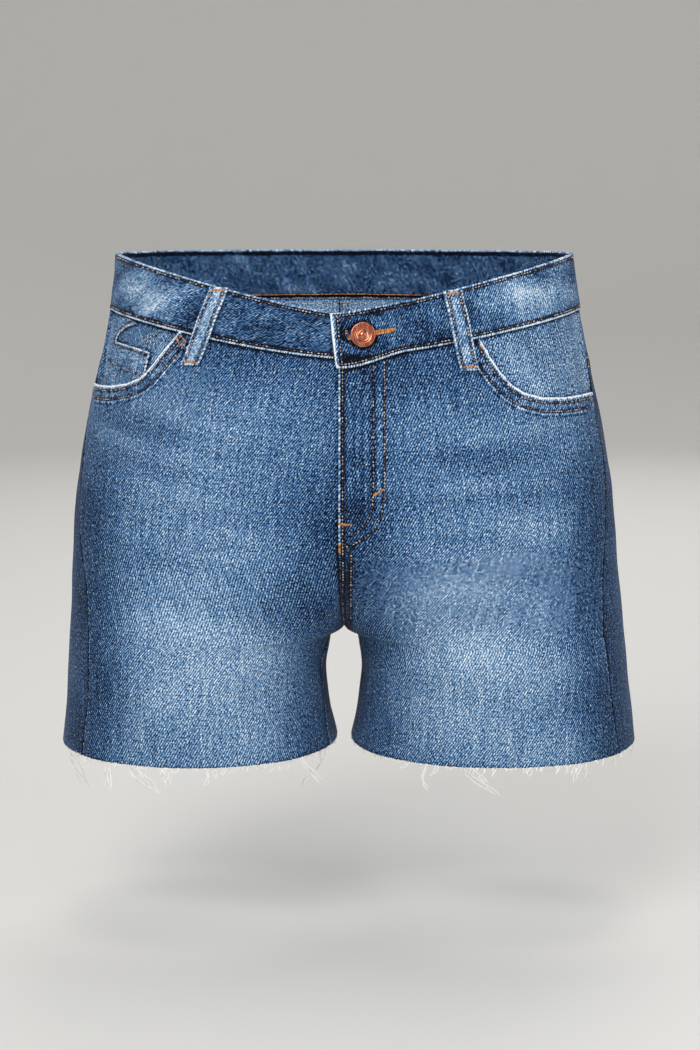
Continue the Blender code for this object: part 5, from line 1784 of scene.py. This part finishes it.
# %% Table of loose threads
STRANDS = table(
    ("side", "turn", "length", "lean"),
    (-1, 5.0, 17, -5),
    (-1, 8.4, 28, -10),
    (-1, 11.5, 20, 13),
    (-1, 14.0, 8, -2),
    (-1, 32.8, 13, -1),
    (-1, 41.2, 15, 0),
    (-1, 43.5, 9, 6),
    (-1, 50.0, 18, 14),
    (-1, 51.7, 22, 21),
    (-1, 56.1, 21, -3),
    (-1, 57.6, 12, -2),
    (-1, 77.0, 33, 15),
    (+1, 7.6, 6, 3),
    (+1, 17.0, 6, -8),
    (+1, 20.4, 22, 1),
    (+1, 22.6, 9, -6),
    (+1, 27.8, 21, 24),
    (+1, 30.0, 12, 9),
    (+1, 32.6, 8, -4),
    (+1, 42.7, 7, -1),
    (+1, 52.0, 7, -2),
    (+1, 55.4, 14, -5),
    (+1, 57.2, 12, -4),
    (+1, 63.0, 6, 0),
)
SHORT = {"first": 6, "last": 76, "step": 2.0, "apart": 0.8, "length": 5, "varies": 3.5, "lean": 2.0}
BACK_STRANDS = {"number": 17, "first": 86, "last": 171, "length": 4, "more": 16, "lean": 3.5}


def strands_of(side, chance):
    """Turn, length and lean of every loose thread of a leg, in order round it."""
    rows = STRANDS["side"] == side
    strands = [tuple(row) for row in zip(*(STRANDS[name][rows] for name in ("turn", "length", "lean")))]
    for turn in np.arange(SHORT["first"], SHORT["last"], SHORT["step"]) + chance.uniform(-1, 1):
        if min(abs(turn - strand[0]) for strand in strands) > SHORT["apart"]:
            length = SHORT["length"] + SHORT["varies"] * chance.uniform(-1, 1)
            strands.append((turn, length, chance.normal(0, SHORT["lean"])))
    back = BACK_STRANDS
    for number in range(back["number"]):
        along = (number + chance.uniform(0.2, 0.8)) / back["number"]
        turn = back["first"] + (back["last"] - back["first"]) * along
        length = back["length"] + back["more"] * chance.random() ** 2
        strands.append((turn, length, chance.normal(0, back["lean"])))
    return np.array(sorted(strands))


# %% [markdown]
# A loose thread is a line with a four-sided tube round it, thinner towards its end. Its cotton is undyed.

# %% A tree that spins threads
THREAD_RADIUS, THREAD_TAPER = 0.38 * MM, 0.45


def fringe_tree():
    tree, graph, given = new_tree("fringe", "Threads", {"Radius": THREAD_RADIUS})
    line = graph.add("GeometryNodeMeshToCurve", {}, {"Mesh": given["Threads"]})
    thinner = 1 - graph.add("GeometryNodeSplineParameter") * THREAD_TAPER
    tapered = graph.add("GeometryNodeSetCurveRadius", {}, {"Curve": line, "Radius": thinner})
    profile = graph.add("GeometryNodeCurvePrimitiveCircle", {}, {"Resolution": 4, "Radius": given["Radius"]})
    yarn = {"Curve": tapered, "Profile Curve": profile, "Fill Caps": True}
    finish_tree(graph, graph.add("GeometryNodeCurveToMesh", {}, yarn), given["Thread"])
    return tree


def cotton():
    """Undyed weft, cream with a few blue-grey fibres."""
    material, graph, surface = new_material("weft cotton")
    place = graph.add("ShaderNodeTexCoord", output="Object")
    stops = {0.0: (190, 198, 208), 0.35: (244, 240, 234), 1.0: (255, 253, 250)}
    shade = noise(graph, place, 3.0) * 1.6 + noise(graph, place, 0.3) * 0.6 + 0.6
    colour = graph.add("ShaderNodeValToRGB", {"stops": stops}, {"Fac": shade})
    graph.plug(surface, {"Base Color": colour, "Roughness": 0.9, "Specular IOR Level": 0.15})
    return material


weft = cotton()
spinning = fringe_tree()

# %% [markdown]
# A tuft has two or three threads from almost the same place. Each falls, leans as the table says and wanders
# a little by chance.

# %% Loose threads and fuzz
THREAD_STEPS, LONG = 14, 12  # points of a thread; the length in mm from which a tuft has three
FUZZ_SPACING = 0.9 * MM
DOWN, ACROSS = np.array([0, 0, -1.0]), np.array([1.0, 0, 0])
WANDER_SHARE = 0.11  # how far a thread wanders, as a share of its length


def hanging(root, length, lean, away, chance):
    """The points of a limp thread from a root."""
    share = np.linspace(0, 1, THREAD_STEPS)[:, None]
    phase = chance.uniform(0, CIRCLE, 2)
    swing = WANDER_SHARE * length * (np.sin(share * chance.uniform(3, 6.5, 2) + phase) - np.sin(phase))
    fall = DOWN * length * share**0.9 + ACROSS * lean * share**1.1
    return root + fall + away * swing[:, 1:] * 0.5 + np.cross(away, DOWN) * swing[:, :1]


def fringe(side, chance):
    """All the loose threads of a leg, in tufts, and the fuzz between them."""
    lines = []
    for turn, length, lean in strands_of(side, chance):
        for _ in range(3 if length > LONG else 2):
            start = turn + chance.normal(0, 0.35)
            root = layer(side, start, HEM_Z + 0.5 * MM, -WALL / 2)
            away = normals(side, start, HEM_Z) * [1, 1, 0]
            share = chance.uniform(0.75, 1.0)
            lines.append(hanging(root, length * share * MM, lean * share * MM, away, chance))
    turns = np.linspace(0.5, 179.5, 900)
    along = lengths(body(side, turns, HEM_Z), 0)
    places = np.arange(0, along[-1], FUZZ_SPACING)
    for at in places + chance.uniform(-0.2, 0.2, len(places)) * MM:
        start = np.interp(at, along, turns)
        reach = (0.4 + 2.6 * chance.random() ** 4) * MM
        root = layer(side, start, HEM_Z + 0.4 * MM, -WALL * chance.uniform(0.1, 0.9))
        away = normals(side, start, HEM_Z) * [1, 1, 0]
        down = unit(np.array([chance.normal(0, 0.6), 0, -1]))
        share = np.linspace(0, 1, 4)[:, None]
        lines.append(root + down * reach * share + away * reach * chance.normal(0.1, 0.35) * share**2)
    return lines


chance = np.random.default_rng(7)
for name, side in SIDES.items():
    lines = fringe(side, chance)
    outs = [np.zeros_like(line) for line in lines]
    piece = grown("fringe_" + name, lines, outs, spinning, {"Thread": weft})
    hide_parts("fringe_" + name)

# %% [markdown]
# ## Button
# A tack button: a stamped copper-coloured cap, hollow in the middle, with a raised ring of small beads round
# its rim. Its profile is turned about its own axis, and the tree that sews also sets the beads.

# %% The button's profile and finish
BUTTON_PROFILE = table(
    ("radius", "height"),
    (0.0, 3.0),
    (1.3, 3.0),
    (2.0, 2.7),
    (2.5, 2.0),
    (3.4, 1.7),
    (4.5, 1.8),
    (5.0, 2.5),
    (5.35, 2.85),
    (6.0, 2.8),
    (7.4, 2.75),
    (7.9, 2.85),
    (8.3, 2.6),
    (8.5, 2.1),
    (8.45, 1.5),
    (8.1, 1.15),
    (4.2, 0.9),
    (4.0, 0.0),
    (0.0, 0.0),
)
BUTTON_STEPS = 72
BEADS, BEAD_RING, BEAD_HEIGHT, BEAD_SIZE = 26, 6.7 * MM, 2.8 * MM, 0.62 * MM


def copper():
    material, graph, surface = new_material("copper")
    place = graph.add("ShaderNodeTexCoord", output="Object")
    stops = {0.2: (104, 50, 36), 0.6: (190, 112, 86), 1.0: (242, 194, 172)}
    tarnish, scratches = noise(graph, place, 2.5), noise(graph, place, 0.6)
    colour = graph.add("ShaderNodeValToRGB", {"stops": stops}, {"Fac": tarnish + 0.6})
    graph.plug(surface, {"Base Color": colour, "Roughness": 0.24 + scratches * 0.2, "Metallic": 1.0})
    return material


def lathe(radii, heights, steps):
    """Points of a profile turned about the upright axis, a row for each step, and their numbers."""
    around = np.linspace(0, CIRCLE, steps + 1)[:, None]
    points = np.stack([radii * np.cos(around), radii * np.sin(around), heights + 0 * around], -1)
    return points, numbered(points)


# %% Button


def make_button(material):
    """The turned cap and its beads. Gives the button's place and axes."""
    place = layer(+1, BUTTON_TURN, BUTTON_Z, BAND_PROUD + OVERLAP_RAISE + SEAM_GAP)
    axes = np.array(Vector(normals(+1, BUTTON_TURN, BUTTON_Z)).to_track_quat("Z", "Y").to_matrix())
    radii, heights = (values * MM for values in BUTTON_PROFILE.values())
    rings, numbers = lathe(radii[1:-1], heights[1:-1], BUTTON_STEPS)
    rings, numbers[-1] = rings[:-1].reshape(-1, 3), numbers[0]
    points = np.concatenate([rings, [[0, 0, heights[0]], [0, 0, heights[-1]]]])
    faces = quads(numbers)[:, ::-1].tolist()
    cap, base = len(rings), len(rings) + 1
    upper, lower = numbers[:, 0].tolist(), numbers[:, -1].tolist()
    faces += [(cap, one, two) for one, two in zip(upper, upper[1:])]
    faces += [(base, two, one) for one, two in zip(lower, lower[1:])]
    button = mesh_piece("button_cap", points @ axes.T + place, faces, material)
    circle = lathe(np.array([BEAD_RING]), np.array([BEAD_HEIGHT]), BEADS)[0][:, 0] @ axes.T + place
    outs = np.repeat(axes[:, 2][None], len(circle), 0)
    step = float(np.linalg.norm(circle[1] - circle[0]))
    settings = {"Pitch": step, "Length": 2 * BEAD_SIZE, "Width": 2 * BEAD_SIZE, "Thread": material}
    beads = grown("button_beads", [circle], [outs], sewing, settings)
    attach(button, "root")
    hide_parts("button")
    return place, axes


# %% [markdown]
# The buttonhole behind the button is sewn with orange thread, in a long narrow loop that climbs a little. Its
# pointed end shows on one side, and a few small stitches on the other.

# %% Buttonhole
button_place, button_axes = make_button(copper())
across, up, _ = button_axes.T
SLOT_START, SLOT_END = -10.0 * MM, 22.0 * MM  # from the button's middle
SLOT_HALF, SLOT_CLIMB = 0.85 * MM, 0.17  # half its width, and how steeply it climbs
SLOT_TACK, SLOT_TACK_HEIGHT = (-11 * MM, 1 * MM), 2.5 * MM  # the small stitches beyond its other end
BUTTONHOLE_STITCH = {**TACK, "Pitch": 0.45 * MM, "Slant": math.radians(86)}
along = np.linspace(SLOT_START, SLOT_END, 40)[:, None]
half = SLOT_HALF * np.sqrt(1 - (np.maximum(along, 0) / SLOT_END) ** 4)
slot_line = button_place + across * along + up * along * SLOT_CLIMB
slot_lines = [slot_line + up * half * way for way in (-1, 1)]
slot_tack = button_place + across * SLOT_TACK[0] + up * SLOT_TACK[1]
slot_lines.append(slot_tack + up * np.linspace(0, SLOT_TACK_HEIGHT, 6)[:, None])
sew_rows("buttonhole", band_surface, slot_lines, orange_thread, **BUTTONHOLE_STITCH)

# %% [markdown]
# ## Camera, light and backdrop
# The garment is seen from a little above its waist. The light is soft and comes mostly from the front, as in
# a catalogue, so the colours of the cloth do most of the work.

# %% Camera
CAMERA_PLACE, CAMERA_AIM = (0.0036, -1.70, 0.065), (0.0036, 0.0, -0.174)
LENS, SENSOR = 81.7, 36.0  # mm


def aim(thing, place, target):
    """Puts a camera or a light in its place, looking at a target."""
    thing.location = place
    thing.rotation_mode = "QUATERNION"
    thing.rotation_quaternion = (Vector(target) - Vector(place)).to_track_quat("-Z", "Y")


camera = set_out("camera", bpy.data.cameras.new("camera"))
aim(camera, CAMERA_PLACE, CAMERA_AIM)
camera.data.sensor_width, camera.data.lens = SENSOR, LENS
bpy.context.scene.camera = camera

# %% Light
LIT = (0, 0, -0.15)  # the place that all lights face
LIGHTS = {  # place, size in metres, and strength in watts
    "key": ((-0.9, -1.9, 1.3), 1.6, 33),
    "fill": ((1.5, -1.6, 0.5), 1.8, 17),
    "top": ((0.0, 0.3, 1.7), 1.4, 10),
    "back": ((0.5, 2.4, 1.6), 2.0, 24),
}
for name, (place, size, strength) in LIGHTS.items():
    light = set_out(name, bpy.data.lights.new(name, "AREA"))
    aim(light, place, LIT)
    light.data.shape, light.data.size, light.data.energy = "DISK", size, strength
    light.visible_camera = False

world = bpy.data.worlds.new("studio")
bpy.context.scene.world = world
world.use_nodes = True
background = world.node_tree.nodes["Background"].inputs
background["Color"].default_value = (0.95, 0.97, 1.0, 1)
background["Strength"].default_value = 0.44
bpy.context.scene.view_settings.view_transform = "Standard"

# %% [markdown]
# The floor turns up into a round wall all about the garment, so that it has the same plain backdrop from
# every side.

# %% Backdrop
FLOOR_Z, FLOOR_REACH, COVE, WALL_TOP = -0.46, 3.2, 0.8, 3.0
BACKDROP_STEPS = 64

paper, paper_graph, paper_surface = new_material("paper")
paper_graph.plug(paper_surface, {"Base Color": linear(222, 220, 216), "Roughness": 0.9})
bends = np.linspace(0, np.pi / 2, 12)
radii = np.concatenate([[0.0], FLOOR_REACH + COVE * np.sin(bends), [FLOOR_REACH + COVE]])
heights = np.concatenate([[FLOOR_Z], FLOOR_Z + COVE * (1 - np.cos(bends)), [WALL_TOP]])
points, numbers = lathe(radii, heights, BACKDROP_STEPS)
mesh_piece("paper_backdrop", points.reshape(-1, 3), quads(numbers).tolist(), paper)
